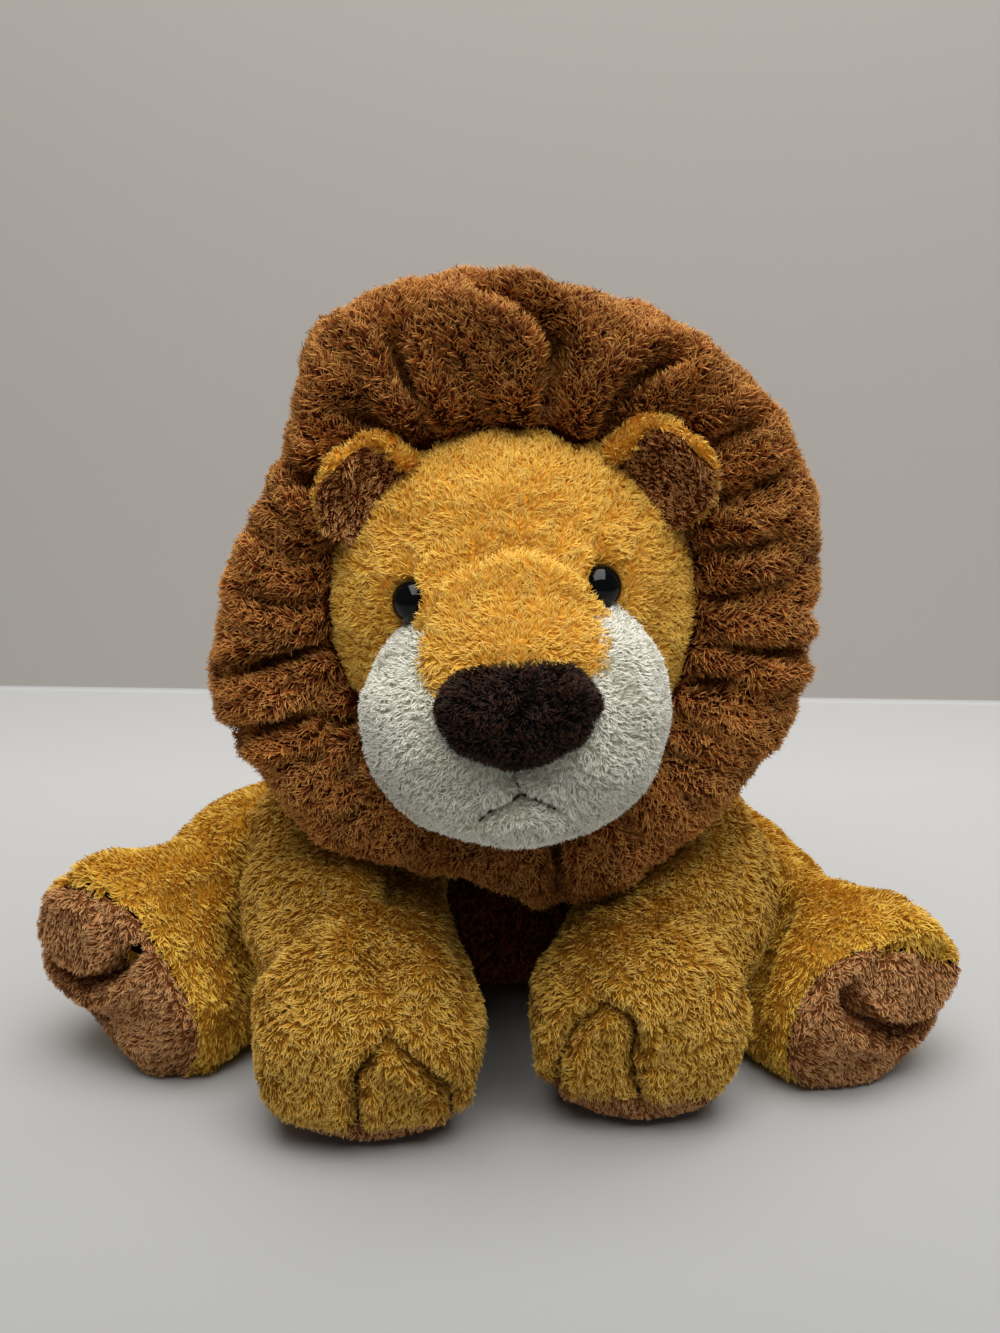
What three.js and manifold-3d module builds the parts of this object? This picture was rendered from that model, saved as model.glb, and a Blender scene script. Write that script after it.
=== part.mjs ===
// A sitting plush lion: stuffed torso, neck, head with a gathered mane, four splayed legs and a tail.
// Millimetres, +Z up. The lion looks along -Y and the origin is the middle of its flat seat.
// Left and right are as seen from the front, so left is -X.
import * as THREE from "three";
import { mergeVertices } from "three/addons/utils/BufferGeometryUtils.js";
import Module from "manifold-3d";

const wasm = await Module();
wasm.setup();

// Cloth, seams and clearances
const clothThickness = 2;
const seamGap = 0.3;
const floorPress = 0.5;
const sweepGap = 2;
const overrun = 200;

// Torso
const bodyHeight = 124;
const bodyWidth = 128;
const bodyDepth = 116;
const pouchHeight = 26;

// Neck ball, which the head nods and tilts on
const neckRadius = 25;
const neckHeight = 120;
const neckSetback = -36;
const neckToHead = 46;

// Head
const headRadius = 47;
const headDepth = 88;
const headHeight = 129;
const headOffset = 3;
const headRollDegrees = 4.3;

// Mane: a folded strip gathered round a ring of wadding
const maneOuterRadius = 78;
const maneThickness = 25;
const maneReach = 7;
const manePleats = 17;
const manePleatDepth = 2.2;
const maneSeamClearance = 0.6;
const maneSlitWidth = 3;

// Muzzle, bridge and nose, placed from the middle of the head
const cheekRadius = 26;
const cheekDepth = 30;
const cheekSpread = 11.5;
const cheekReach = 36;
const cheekDrop = 23.5;
const bridgeWidth = 42;
const bridgeHeight = 24;
const bridgeLength = 38;
const bridgeRise = 21.5;
const bridgeReach = 24;
const bridgeFall = 25.5;
const noseWidth = 39;
const noseHeight = 25;
const noseDepth = 22;
const noseReach = 60;
const noseDrop = 13.5;

// Mouth stitching
const threadRadius = 0.7;
const mouthTop = 27;
const mouthFork = 33.5;
const mouthDrop = 40;
const mouthHalfWidth = 8.5;

// Eyes: a domed button with a stem and a lock washer behind the cloth
const eyeRadius = 5.3;
const eyeDome = 4;
const eyeSpacing = 46.5;
const eyeRise = 7.5;
const stemRadius = 1.8;
const stemLength = 9;
const washerRadius = 6;
const washerThickness = 1.5;
const washerBore = 2.1;

// Ears
const earRadius = 15;
const earThickness = 8;
const earReachFromHead = 47;
const earLeftLiftDegrees = 43;
const earRightLiftDegrees = 37.5;
const earForward = 3;
const liningThickness = 2.4;
const earLiningShare = 0.78;

// Front legs
const shoulderRadius = 24;
const shoulderHeight = 58;
const shoulderSpread = 43;
const shoulderSetback = -46;
const frontLeftRun = 83;
const frontRightRun = 75;
const frontPawSpread = 35;
const frontLegThickness = 52;
const frontPawWidth = 60;
const frontPawHeight = 55;
const frontSoleThickness = 4;
const legStart = 6;

// Hind legs
const hipRadius = 29;
const hipHeight = 33;
const hipSpread = 50;
const hipSetback = 6;
const hindLeftSplayDegrees = 32.5;
const hindRightSplayDegrees = 29;
const hindLeftRun = 119;
const hindRightRun = 126;
const hindThighThickness = 62;
const hindFootWidth = 57;
const hindFootHeight = 60;
const hindToeLength = 9;
const hindSoleTiltDegrees = 12;

// Joint travel, in degrees, that the legs are kept clear of the torso for
const shoulderInDegrees = 3;
const shoulderOutDegrees = 5;
const hipOutDegrees = 45;

// Middle toes, drawn in with thread
const toeHalfWidth = 9.5;
const frontToeHeight = 25;
const hindToeHeight = 22;
const hindToeBase = 27;

// Tail
const tailRadius = 7;
const tailLength = 78;
const tailRootRadius = 8;
const tailHeight = 14;
const tailSetback = 54;
const tuftLength = 38;
const tuftRadius = 12;

// Faces round and along each kind of form
const fine = { sides: 18, rings: 11 };
const plain = { sides: 12, rings: 7 };
const small = { sides: 10, rings: 6 };
const round = { sides: 22, rings: 13 };
const threadSides = 4;
const threadSteps = 8;
const halfTurn = 180;

const X = new THREE.Vector3(1, 0, 0);
const Y = new THREE.Vector3(0, 1, 0);
const Z = new THREE.Vector3(0, 0, 1);
const degrees = THREE.MathUtils.degToRad;

const golden = new THREE.MeshStandardMaterial({ color: 0xc38c34, roughness: 0.95, metalness: 0 });
const rust = new THREE.MeshStandardMaterial({ color: 0x8d4d20, roughness: 0.95, metalness: 0 });
const tan = new THREE.MeshStandardMaterial({ color: 0x8a5e3c, roughness: 0.95, metalness: 0 });
const white = new THREE.MeshStandardMaterial({ color: 0xe2e2da, roughness: 0.95, metalness: 0 });
const darkBrown = new THREE.MeshStandardMaterial({ color: 0x33201a, roughness: 0.95, metalness: 0 });
const glossBlack = new THREE.MeshStandardMaterial({ color: 0x08080a, roughness: 0.08, metalness: 0 });
const washerPlastic = new THREE.MeshStandardMaterial({ color: 0xe8e8e4, roughness: 0.5, metalness: 0 });
const wadding = new THREE.MeshStandardMaterial({ color: 0xf0efe8, roughness: 1, metalness: 0 });
const thread = new THREE.MeshStandardMaterial({ color: 0x4a3222, roughness: 0.8, metalness: 0 });

// A closed geometry as a solid that can be joined and cut.
function solidOf(geometry) {
  const bare = geometry.index ? geometry.toNonIndexed() : geometry.clone();
  bare.deleteAttribute("normal");
  bare.deleteAttribute("uv");
  const merged = mergeVertices(bare, 1e-4);
  return new wasm.Manifold(
    new wasm.Mesh({
      numProp: 3,
      vertProperties: merged.getAttribute("position").array,
      triVerts: new Uint32Array(merged.index.array),
    }),
  );
}

// A solid's geometry, to be drawn or measured.
function geometryOf(solid) {
  const faces = solid.getMesh();
  const geometry = new THREE.BufferGeometry();
  geometry.setAttribute("position", new THREE.BufferAttribute(faces.vertProperties, 3));
  geometry.setIndex(new THREE.BufferAttribute(faces.triVerts, 1));
  geometry.computeVertexNormals();
  return geometry;
}

function ellipsoid(centre, radii, detail) {
  const geometry = new THREE.SphereGeometry(1, detail.sides, detail.rings);
  geometry.rotateX(Math.PI / 2);
  geometry.scale(radii.x, radii.y, radii.z);
  geometry.translate(centre.x, centre.y, centre.z);
  return solidOf(geometry);
}

function ball(centre, radius, detail) {
  return ellipsoid(centre, new THREE.Vector3(radius, radius, radius), detail);
}

// A ball whose flat facets all stay outside the given radius.
function socket(centre, radius, detail) {
  const shortfall = Math.cos(Math.PI / detail.sides) * Math.cos(Math.PI / (2 * detail.rings));
  return ball(centre, (radius + seamGap) / shortfall, detail);
}

// A solid turned about an upright line through a pivot, at each of several angles.
function turned(solid, pivot, turns) {
  return turns.map((turn) =>
    solid
      .translate([-pivot.x, -pivot.y, -pivot.z])
      .rotate([0, 0, turn])
      .translate([pivot.x, pivot.y, pivot.z]),
  );
}

// A socket for a ball that only turns about an upright line: its facets face the ball's edges.
function uprightSocket(centre, radius, detail) {
  const reach = (radius + seamGap) / Math.cos(Math.PI / detail.sides);
  return joined(turned(ball(centre, reach, detail), centre, [halfTurn / detail.sides]));
}

// The half of space behind the plane through a point, as a block the plane's normal points out of.
function behind(point, normal) {
  const block = new THREE.BoxGeometry(2 * overrun, 2 * overrun, 2 * overrun);
  block.translate(0, 0, -overrun);
  block.applyQuaternion(new THREE.Quaternion().setFromUnitVectors(Z, normal));
  block.translate(point.x, point.y, point.z);
  return solidOf(block);
}

function underFloor() {
  return behind(new THREE.Vector3(0, 0, 0), Z);
}

// A stuffed tube: ellipses carried along a smooth path of stations, with a point at each end. An
// inset moves its surface inwards, or outwards where it is negative.
const slopeShare = 0.01;

function stuffedTube(stations, sideOf, detail, inset = 0, underside = 1) {
  const path = new THREE.CatmullRomCurve3(stations.map((s) => s.at));
  const spread = new THREE.CatmullRomCurve3(
    stations.map((s) => new THREE.Vector3(s.across, s.up, 0)),
  );
  const points = [];
  const count = detail.rings + 1;
  for (let ring = 1; ring < count; ring++) {
    const share = ring / count;
    const size = spread.getPoint(share);
    const before = path.getPoint(share - slopeShare);
    const after = path.getPoint(share + slopeShare);
    const growth = spread.getPoint(share + slopeShare).sub(spread.getPoint(share - slopeShare));
    const slope = Math.atan2((growth.x + growth.y) / 2, before.distanceTo(after));
    const along = path.getTangent(share);
    const centre = path.getPoint(share).addScaledVector(along, inset * Math.sin(slope));
    const side = sideOf(along);
    const up = new THREE.Vector3().crossVectors(along, side).normalize();
    const across = size.x - inset * Math.cos(slope);
    const rise = size.y - inset * Math.cos(slope);
    for (let step = 0; step < detail.sides; step++) {
      const angle = (2 * Math.PI * step) / detail.sides;
      const height = Math.sin(angle);
      const settled = height < 0 ? -((-height) ** underside) : height;
      points.push(
        centre
          .clone()
          .addScaledVector(side, across * Math.cos(angle))
          .addScaledVector(up, rise * settled),
      );
    }
  }
  const first = points.length;
  const last = first + 1;
  points.push(path.getPoint(0).addScaledVector(path.getTangent(0), inset));
  points.push(path.getPoint(1).addScaledVector(path.getTangent(1), -inset));
  const faces = [];
  const rings = count - 1;
  for (let step = 0; step < detail.sides; step++) {
    const next = (step + 1) % detail.sides;
    faces.push(first, next, step);
    for (let ring = 0; ring < rings - 1; ring++) {
      const near = ring * detail.sides;
      const far = near + detail.sides;
      faces.push(near + step, near + next, far + next);
      faces.push(near + step, far + next, far + step);
    }
    const end = (rings - 1) * detail.sides;
    faces.push(end + step, end + next, last);
  }
  const geometry = new THREE.BufferGeometry().setFromPoints(points);
  geometry.setIndex(faces);
  return solidOf(geometry);
}

// A round thread along a curve that lies on a surface.
function threadAlong(points, radius, closed = false) {
  const outline = new THREE.Shape();
  for (let step = 0; step < threadSides; step++) {
    const angle = (2 * Math.PI * step) / threadSides;
    const corner = [radius * Math.cos(angle), radius * Math.sin(angle)];
    if (step === 0) outline.moveTo(...corner);
    else outline.lineTo(...corner);
  }
  const geometry = new THREE.ExtrudeGeometry(outline, {
    steps: threadSteps,
    extrudePath: new THREE.CatmullRomCurve3(points, closed),
  });
  return solidOf(geometry);
}

// Where a ray from far away first meets a solid.
function meet(solid, through, direction) {
  const mesh = new THREE.Mesh(geometryOf(solid));
  const start = through.clone().addScaledVector(direction, -overrun);
  const hits = new THREE.Raycaster(start, direction).intersectObject(mesh);
  return hits[0].point;
}

function joined(solids) {
  return solids.reduce((whole, next) => whole.add(next));
}

const group = new THREE.Group();

function place(name, solid, material, parent = group) {
  const mesh = new THREE.Mesh(geometryOf(solid), material);
  mesh.name = name;
  parent.add(mesh);
}

// Torso: shares of height, setback as a share of depth, width and depth
const bodyStationShares = [
  [-0.02, 0, 0, 0],
  [0, 0, 0.66, 0.66],
  [0.09, 0, 0.92, 0.92],
  [0.25, -0.01, 1, 1],
  [0.44, -0.045, 0.94, 0.9],
  [0.64, -0.085, 0.84, 0.73],
  [0.8, -0.1, 0.73, 0.56],
  [0.92, -0.11, 0.54, 0.38],
  [0.985, -0.12, 0.28, 0.2],
  [1, -0.12, 0, 0],
];

function bodyForm(inset, detail) {
  const stations = bodyStationShares.map(([rise, setback, width, depth]) => ({
    at: new THREE.Vector3(0, setback * bodyDepth, rise * bodyHeight),
    across: (width * bodyWidth) / 2,
    up: (depth * bodyDepth) / 2,
  }));
  return stuffedTube(stations, () => X, detail, inset);
}

const neckPivot = new THREE.Vector3(0, neckSetback, neckHeight);
const sides = [
  {
    name: "left",
    sign: -1,
    frontRun: frontLeftRun,
    hindRun: hindLeftRun,
    splay: degrees(hindLeftSplayDegrees),
    lift: degrees(earLeftLiftDegrees),
  },
  {
    name: "right",
    sign: 1,
    frontRun: frontRightRun,
    hindRun: hindRightRun,
    splay: degrees(hindRightSplayDegrees),
    lift: degrees(earRightLiftDegrees),
  },
];

function shoulderPivot(sign) {
  return new THREE.Vector3(sign * shoulderSpread, shoulderSetback, shoulderHeight);
}

function hipPivot(sign) {
  return new THREE.Vector3(sign * hipSpread, hipSetback, hipHeight);
}

const tailPivot = new THREE.Vector3(0, tailSetback, tailHeight);

// Everything that seats in the torso, as balls a little larger than what turns in them
function torsoSockets(margin) {
  return joined([
    socket(neckPivot, neckRadius + margin, plain),
    ...sides.map(({ sign }) => uprightSocket(shoulderPivot(sign), shoulderRadius + margin, plain)),
    ...sides.map(({ sign }) => uprightSocket(hipPivot(sign), hipRadius + margin, plain)),
    uprightSocket(tailPivot, tailRootRadius + margin, small),
  ]);
}

const bodyOuter = bodyForm(0, fine).subtract(underFloor());
const bodyHollow = bodyForm(clothThickness, plain).subtract(
  behind(new THREE.Vector3(0, 0, clothThickness), Z),
);
place("body_cover", bodyOuter.subtract(bodyHollow).subtract(torsoSockets(0)), golden);

// The filling stands on a pouch of pellets that weighs the seat down
const fillingSockets = torsoSockets(seamGap);
const bodyCore = bodyForm(clothThickness + seamGap, plain).subtract(
  behind(new THREE.Vector3(0, 0, clothThickness + seamGap), Z),
);
const pouchTop = new THREE.Vector3(0, 0, pouchHeight);
const pouchLid = new THREE.Vector3(0, 0, pouchHeight + seamGap);
place("pellet_pouch", bodyCore.intersect(behind(pouchTop, Z)).subtract(fillingSockets), tan);
place("body_filling", bodyCore.subtract(behind(pouchLid, Z)).subtract(fillingSockets), wadding);

place("neck", ball(neckPivot, neckRadius, fine), golden);

// How much flatter than round a limb's underside has settled: the power its section's sine takes
const undersideShare = 0.5;

// A limb: a ball that turns in its socket and a stuffed tube grown out of it, kept clear of the
// torso through the limb's travel, and of what else is near. It is asked for by its inset and its
// detail.
function limb(pivot, radius, stations, sideOf, turns, nearby = () => []) {
  return (inset, detail) => {
    const margin = sweepGap + inset;
    const sweep = joined([...turned(bodyForm(-margin, fine), pivot, turns), ...nearby(margin)]);
    const root = ball(pivot, radius - inset, plain);
    const tube = stuffedTube(stations, sideOf, detail, inset, undersideShare);
    return tube.subtract(sweep).add(root);
  };
}

// A toe drawn in by a stitch: across and along shares of the toe, from one side and back
const toeShares = [
  [-0.95, 0],
  [-1, 0.4],
  [-0.8, 0.8],
  [0, 1],
  [0.8, 0.8],
  [1, 0.4],
  [0.95, 0],
];

// A leg's four pieces, cut at its sole's plane: cover, filling, sole and toe stitch.
function placeLeg(kind, name, form, soleEdge, soleNormal, toePoints) {
  const outer = form(0, fine).subtract(underFloor());
  const soleSide = (offset) =>
    behind(soleEdge.clone().addScaledVector(soleNormal, -offset), soleNormal.clone().negate());
  const toeLine = (radius) => threadAlong(toePoints(outer), radius);
  const hollow = form(clothThickness, small).subtract(underFloor());
  const cover = outer
    .subtract(hollow)
    .subtract(soleSide(seamGap))
    .subtract(toeLine(threadRadius + seamGap));
  const filling = form(clothThickness + seamGap + threadRadius, small)
    .subtract(behind(new THREE.Vector3(0, 0, clothThickness), Z))
    .subtract(soleSide(seamGap));
  place(kind + "_leg_" + name, cover, golden);
  place(kind + "_filling_" + name, filling, wadding);
  const sole = outer.intersect(soleSide(0)).subtract(toeLine(threadRadius + seamGap));
  place(kind + "_sole_" + name, sole, tan);
  place(kind + "_toe_stitch_" + name, toeLine(threadRadius), thread);
}

// Front legs: shares of the run and of the shoulder height, then of the leg's and the paw's size
const frontStationShares = [
  { run: 0, rise: 1, leg: 0.5 },
  { run: 0.12, rise: 0.88, leg: 0.84 },
  { run: 0.25, rise: 0.72, leg: 0.94 },
  { run: 0.45, rise: 0.55, leg: 1 },
  { run: 0.6, rise: 0.49, paw: 0.92 },
  { run: 0.75, rise: 0.46, paw: 1 },
  { run: 0.88, rise: 0.43, paw: 0.94 },
  { run: 0.97, rise: 0.41, paw: 0.74 },
  { run: 1, rise: 0.405, paw: 0 },
];
const legFlatnessShare = 0.86;

function frontStations(sign, run) {
  const start = {
    at: shoulderPivot(sign),
    across: 0,
    up: 0,
  };
  const stations = frontStationShares.map((share) => ({
    at: new THREE.Vector3(
      sign * THREE.MathUtils.lerp(shoulderSpread, frontPawSpread, share.run),
      shoulderSetback - share.run * run - legStart,
      share.rise * shoulderHeight,
    ),
    across: ((share.paw ?? 0) * frontPawWidth) / 2 + ((share.leg ?? 0) * frontLegThickness) / 2,
    up:
      ((share.paw ?? 0) * frontPawHeight) / 2 +
      ((share.leg ?? 0) * legFlatnessShare * frontLegThickness) / 2,
  }));
  return [start, ...stations];
}

const frontTubes = {};
for (const { name, sign, frontRun } of sides) {
  const pivot = shoulderPivot(sign);
  const stations = frontStations(sign, frontRun);
  frontTubes[name] = (margin) => stuffedTube(stations, () => X, plain, -margin, undersideShare);
  const turns = [0, shoulderInDegrees * sign, -shoulderOutDegrees * sign];
  const form = limb(pivot, shoulderRadius, stations, () => X, turns);
  const toePoints = (outer) =>
    toeShares.map(([across, along]) => {
      const low = frontSoleThickness + 2 * threadRadius;
      const through = new THREE.Vector3(
        sign * frontPawSpread + across * toeHalfWidth,
        0,
        THREE.MathUtils.lerp(low, frontToeHeight, along),
      );
      return meet(outer, through, Y);
    });
  const soleEdge = new THREE.Vector3(0, 0, frontSoleThickness);
  placeLeg("front", name, form, soleEdge, Z.clone().negate(), toePoints);
}

// Hind legs: shares of the run and of the hip height, then of the thigh's and the foot's size
const hindStationShares = [
  { run: 0, rise: 1, thigh: 0.5 },
  { run: 0.08, rise: 0.98, thigh: 0.84 },
  { run: 0.2, rise: 0.93, thigh: 1 },
  { run: 0.4, rise: 0.9, thigh: 0.98 },
  { run: 0.58, rise: 0.8, thigh: 0.86 },
  { run: 0.74, rise: 0.77, foot: 0.94 },
  { run: 0.88, rise: 0.81, foot: 1 },
  { run: 0.95, rise: 0.8, foot: 0.9 },
  { run: 0.985, rise: 0.79, foot: 0.66 },
  { run: 1, rise: 0.79, foot: 0 },
];

for (const { name, sign, hindRun, splay } of sides) {
  const pivot = hipPivot(sign);
  const heading = new THREE.Vector3(sign * Math.sin(splay), -Math.cos(splay), 0);
  const across = new THREE.Vector3().crossVectors(heading, Z);
  const start = { at: pivot.clone().addScaledVector(heading, -legStart), across: 0, up: 0 };
  const stations = hindStationShares.map((share) => ({
    at: pivot
      .clone()
      .addScaledVector(heading, share.run * hindRun)
      .setZ(share.rise * hipHeight),
    across: ((share.thigh ?? 0) * hindThighThickness + (share.foot ?? 0) * hindFootWidth) / 2,
    up: ((share.thigh ?? 0) * hindThighThickness + (share.foot ?? 0) * hindFootHeight) / 2,
  }));
  const sideOf = (along) => new THREE.Vector3().crossVectors(along, Z).normalize();
  const turns = [0, -hipOutDegrees * sign];
  const shoulder = shoulderPivot(sign);
  const frontLeg = (margin) => [
    ball(shoulder, shoulderRadius + margin, plain),
    ...turned(frontTubes[name](margin), shoulder, [0, shoulderOutDegrees * sign]),
  ];
  const form = limb(pivot, hipRadius, [start, ...stations], sideOf, turns, frontLeg);
  const tilt = degrees(hindSoleTiltDegrees);
  const soleNormal = heading
    .clone()
    .multiplyScalar(Math.cos(tilt))
    .addScaledVector(Z, -Math.sin(tilt));
  const soleEdge = pivot
    .clone()
    .addScaledVector(heading, hindRun - hindToeLength)
    .setZ(hindToeBase);
  const toePoints = (outer) =>
    toeShares.map(([sideways, along]) => {
      const through = pivot
        .clone()
        .addScaledVector(across, sideways * toeHalfWidth)
        .setZ(hindToeBase + (1 - along) * hindToeHeight - hindToeHeight / 2);
      return meet(outer, through, heading.clone().negate());
    });
  placeLeg("hind", name, form, soleEdge, soleNormal, toePoints);
}

// Tail: a slim tube that curls round on the floor behind the torso, with a tuft on its end
const tailTurnDegrees = 95;
const tailStations = 7;
const tailBend = degrees(tailTurnDegrees) / tailLength;

function tailPoint(length) {
  const angle = tailBend * length;
  return new THREE.Vector3(
    tailPivot.x + (1 - Math.cos(angle)) / tailBend,
    tailPivot.y + Math.sin(angle) / tailBend,
    THREE.MathUtils.lerp(tailHeight, tailRadius, Math.min(1, (2 * length) / tailLength)),
  );
}

const tailSide = (along) => new THREE.Vector3().crossVectors(along, Z).normalize();
const tailForm = [];
for (let step = 0; step <= tailStations; step++) {
  const inside = step > 0 && step < tailStations;
  const radius = inside ? tailRadius : 0;
  tailForm.push({ at: tailPoint((step * tailLength) / tailStations), across: radius, up: radius });
}
const tuftShares = [
  [0, 0],
  [0.12, 0.72],
  [0.35, 1],
  [0.65, 0.86],
  [0.88, 0.46],
  [1, 0],
];
const tuftStart = tailPoint(tailLength * (1 - 1 / tailStations));
const tuftHeading = tailPoint(tailLength).sub(tuftStart).setZ(0).normalize();
const tuftStations = tuftShares.map(([along, size]) => ({
  at: tuftStart.clone().addScaledVector(tuftHeading, along * tuftLength).setZ(tuftRadius - floorPress),
  across: size * tuftRadius,
  up: size * tuftRadius,
}));
const tuftForm = (inset) => stuffedTube(tuftStations, tailSide, small, inset);
const tail = stuffedTube(tailForm, tailSide, small).add(ball(tailPivot, tailRootRadius, small));
place("tail", tail.subtract(underFloor()).subtract(tuftForm(-seamGap)), golden);
place("tail_tuft", tuftForm(0).subtract(underFloor()), rust);

// Head, built about its own middle and then rolled to one side
const head = new THREE.Group();
head.position.set(headOffset, neckSetback - neckToHead, headHeight);
head.rotation.y = -degrees(headRollDegrees);
head.updateMatrixWorld(true);
group.add(head);
const headNeck = head.worldToLocal(neckPivot.clone());
const headRadii = new THREE.Vector3(headRadius, headDepth / 2, headRadius);

function headForm(inset, detail) {
  const radii = headRadii.clone().subScalar(inset);
  return ellipsoid(new THREE.Vector3(), radii, detail);
}

const headOuter = headForm(0, round);

// Mane: the ring's half section in shares of its thickness and width, open at the inner seam
const maneInnerRadius = headRadius + maneSeamClearance;
const maneWidth = maneOuterRadius - maneInnerRadius;
const maneSectionShares = [
  [0, 0.34],
  [0.16, 0.72],
  [0.5, 1],
  [0.84, 0.74],
  [1, 0],
];

function maneRing(inset, steps) {
  const half = maneSectionShares.map(([out, thick]) => {
    const middle = maneInnerRadius + maneWidth / 2;
    const reach = maneInnerRadius + out * maneWidth;
    const shrink = (maneWidth / 2 - inset) / (maneWidth / 2);
    return [middle + (reach - middle) * shrink, (thick * maneThickness * shrink) / 2];
  });
  const section = [...half, ...half.slice(0, -1).reverse().map(([reach, thick]) => [reach, -thick])];
  const points = [];
  const faces = [];
  for (let step = 0; step < steps; step++) {
    const angle = (2 * Math.PI * step) / steps;
    const fold = Math.cos(manePleats * angle) * manePleatDepth;
    section.forEach(([reach, thick]) => {
      const nearSeam = 1 - (reach - maneInnerRadius) / maneWidth;
      const swell = 1 + (fold * nearSeam) / (maneThickness / 2);
      points.push(
        new THREE.Vector3(reach * Math.cos(angle), -thick * swell - maneReach, reach * Math.sin(angle)),
      );
    });
    section.forEach((_, corner) => {
      const next = (corner + 1) % section.length;
      const here = step * section.length;
      const there = ((step + 1) % steps) * section.length;
      faces.push(here + corner, here + next, there + next);
      faces.push(here + corner, there + next, there + corner);
    });
  }
  const geometry = new THREE.BufferGeometry().setFromPoints(points);
  geometry.setIndex(faces);
  return solidOf(geometry);
}

const maneSteps = 2 * manePleats;
const slit = new THREE.CylinderGeometry(
  maneInnerRadius + 2 * clothThickness,
  maneInnerRadius + 2 * clothThickness,
  maneSlitWidth,
  maneSteps,
).translate(0, -maneReach, 0);
const maneHollow = maneRing(clothThickness, maneSteps);
place("mane_ruff", maneRing(0, maneSteps).subtract(maneHollow).subtract(solidOf(slit)), rust, head);
place("mane_wadding", maneRing(clothThickness + 2 * seamGap, maneSteps), wadding, head);

// Muzzle: two cheeks joined under the nose
function muzzleForm(inset, detail) {
  const radii = new THREE.Vector3(cheekRadius, cheekDepth, cheekRadius).subScalar(inset);
  return joined(
    [-cheekSpread, cheekSpread].map((x) =>
      ellipsoid(new THREE.Vector3(x, -cheekReach, -cheekDrop), radii, detail),
    ),
  );
}

// Bridge: a broad golden ridge from the brow down to the nose
const bridgeShares = [
  [0, 0],
  [0.1, 0.6],
  [0.28, 0.92],
  [0.6, 1],
  [0.86, 0.86],
  [1, 0],
];

function bridgeForm(inset) {
  const start = new THREE.Vector3(0, -bridgeReach, bridgeRise);
  const end = new THREE.Vector3(0, -bridgeReach - bridgeLength, bridgeRise - bridgeFall);
  const stations = bridgeShares.map(([along, size]) => ({
    at: start.clone().lerp(end, along),
    across: (size * bridgeWidth) / 2,
    up: (size * bridgeHeight) / 2,
  }));
  return stuffedTube(stations, () => X, plain, inset);
}

function noseForm(inset) {
  const radii = new THREE.Vector3(noseWidth, noseDepth, noseHeight).divideScalar(2);
  return ellipsoid(new THREE.Vector3(0, -noseReach, -noseDrop), radii.subScalar(inset), plain);
}

// Eyes, each on a stem square to the face
const eyes = [-1, 1].map((sign) => {
  const through = new THREE.Vector3((sign * eyeSpacing) / 2, 0, eyeRise);
  const seat = meet(headOuter, through, Y);
  const normal = seat.clone().divide(headRadii).divide(headRadii).normalize();
  return { name: sign < 0 ? "left" : "right", seat, normal };
});

function button(seat, normal, radius, near, far) {
  const geometry = new THREE.CylinderGeometry(radius, radius, far - near, small.sides);
  geometry.translate(0, -(near + far) / 2, 0);
  geometry.applyQuaternion(new THREE.Quaternion().setFromUnitVectors(Y, normal));
  geometry.translate(seat.x, seat.y, seat.z);
  return solidOf(geometry);
}

function eyeDomeAt(seat, normal, margin) {
  const geometry = new THREE.SphereGeometry(1, small.sides, small.rings);
  geometry.scale(eyeRadius + margin, eyeDome + margin, eyeRadius + margin);
  geometry.applyQuaternion(new THREE.Quaternion().setFromUnitVectors(Y, normal));
  geometry.translate(seat.x, seat.y, seat.z);
  return solidOf(geometry);
}

const washerDepth = clothThickness + eyeDome + seamGap;
const eyePockets = eyes.map(({ seat, normal }) =>
  eyeDomeAt(seat, normal, seamGap).add(
    button(seat, normal, stemRadius + seamGap, 0, stemLength + seamGap),
  ),
);
const washerPockets = eyes.map(({ seat, normal }) =>
  button(seat, normal, washerRadius + seamGap, 0, stemLength + washerThickness),
);
const stemPockets = joined(eyePockets);

for (const { name, seat, normal } of eyes) {
  const stem = button(seat, normal, stemRadius, 0, stemLength);
  place("eye_" + name, eyeDomeAt(seat, normal, 0).add(stem), glossBlack, head);
  const washer = button(seat, normal, washerRadius, washerDepth, washerDepth + washerThickness);
  const bore = button(seat, normal, washerBore, 0, stemLength + overrun);
  place("eye_washer_" + name, washer.subtract(bore), washerPlastic, head);
}

// Face cover: an open shell, cut for the neck, the eyes and the mane's seam
const neckSocket = (margin) => socket(headNeck, neckRadius + margin, plain);
const headHollow = headForm(clothThickness, plain);
place(
  "head_cover",
  headOuter.subtract(headHollow).subtract(neckSocket(0)).subtract(stemPockets),
  golden,
  head,
);
place(
  "head_filling",
  headForm(clothThickness + seamGap + threadRadius, plain)
    .subtract(neckSocket(seamGap))
    .subtract(joined([...eyePockets, ...washerPockets])),
  wadding,
  head,
);

const pastHead = headForm(-seamGap, round);
const muzzleOuter = muzzleForm(0, plain);
const eyeClearance = joined(eyes.map(({ seat, normal }) => eyeDomeAt(seat, normal, seamGap)));
const bridge = bridgeForm(0)
  .subtract(pastHead)
  .subtract(muzzleForm(-seamGap, plain))
  .subtract(eyeClearance);
const nose = noseForm(0).subtract(muzzleForm(-seamGap, plain)).subtract(bridgeForm(-seamGap));

// Mouth: one thread down from the nose and a second one across its end
const mouthShares = [
  [-1, 1],
  [-0.5, 0.6],
  [0, 0],
  [0.5, 0.5],
  [1, 0.75],
];

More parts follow.
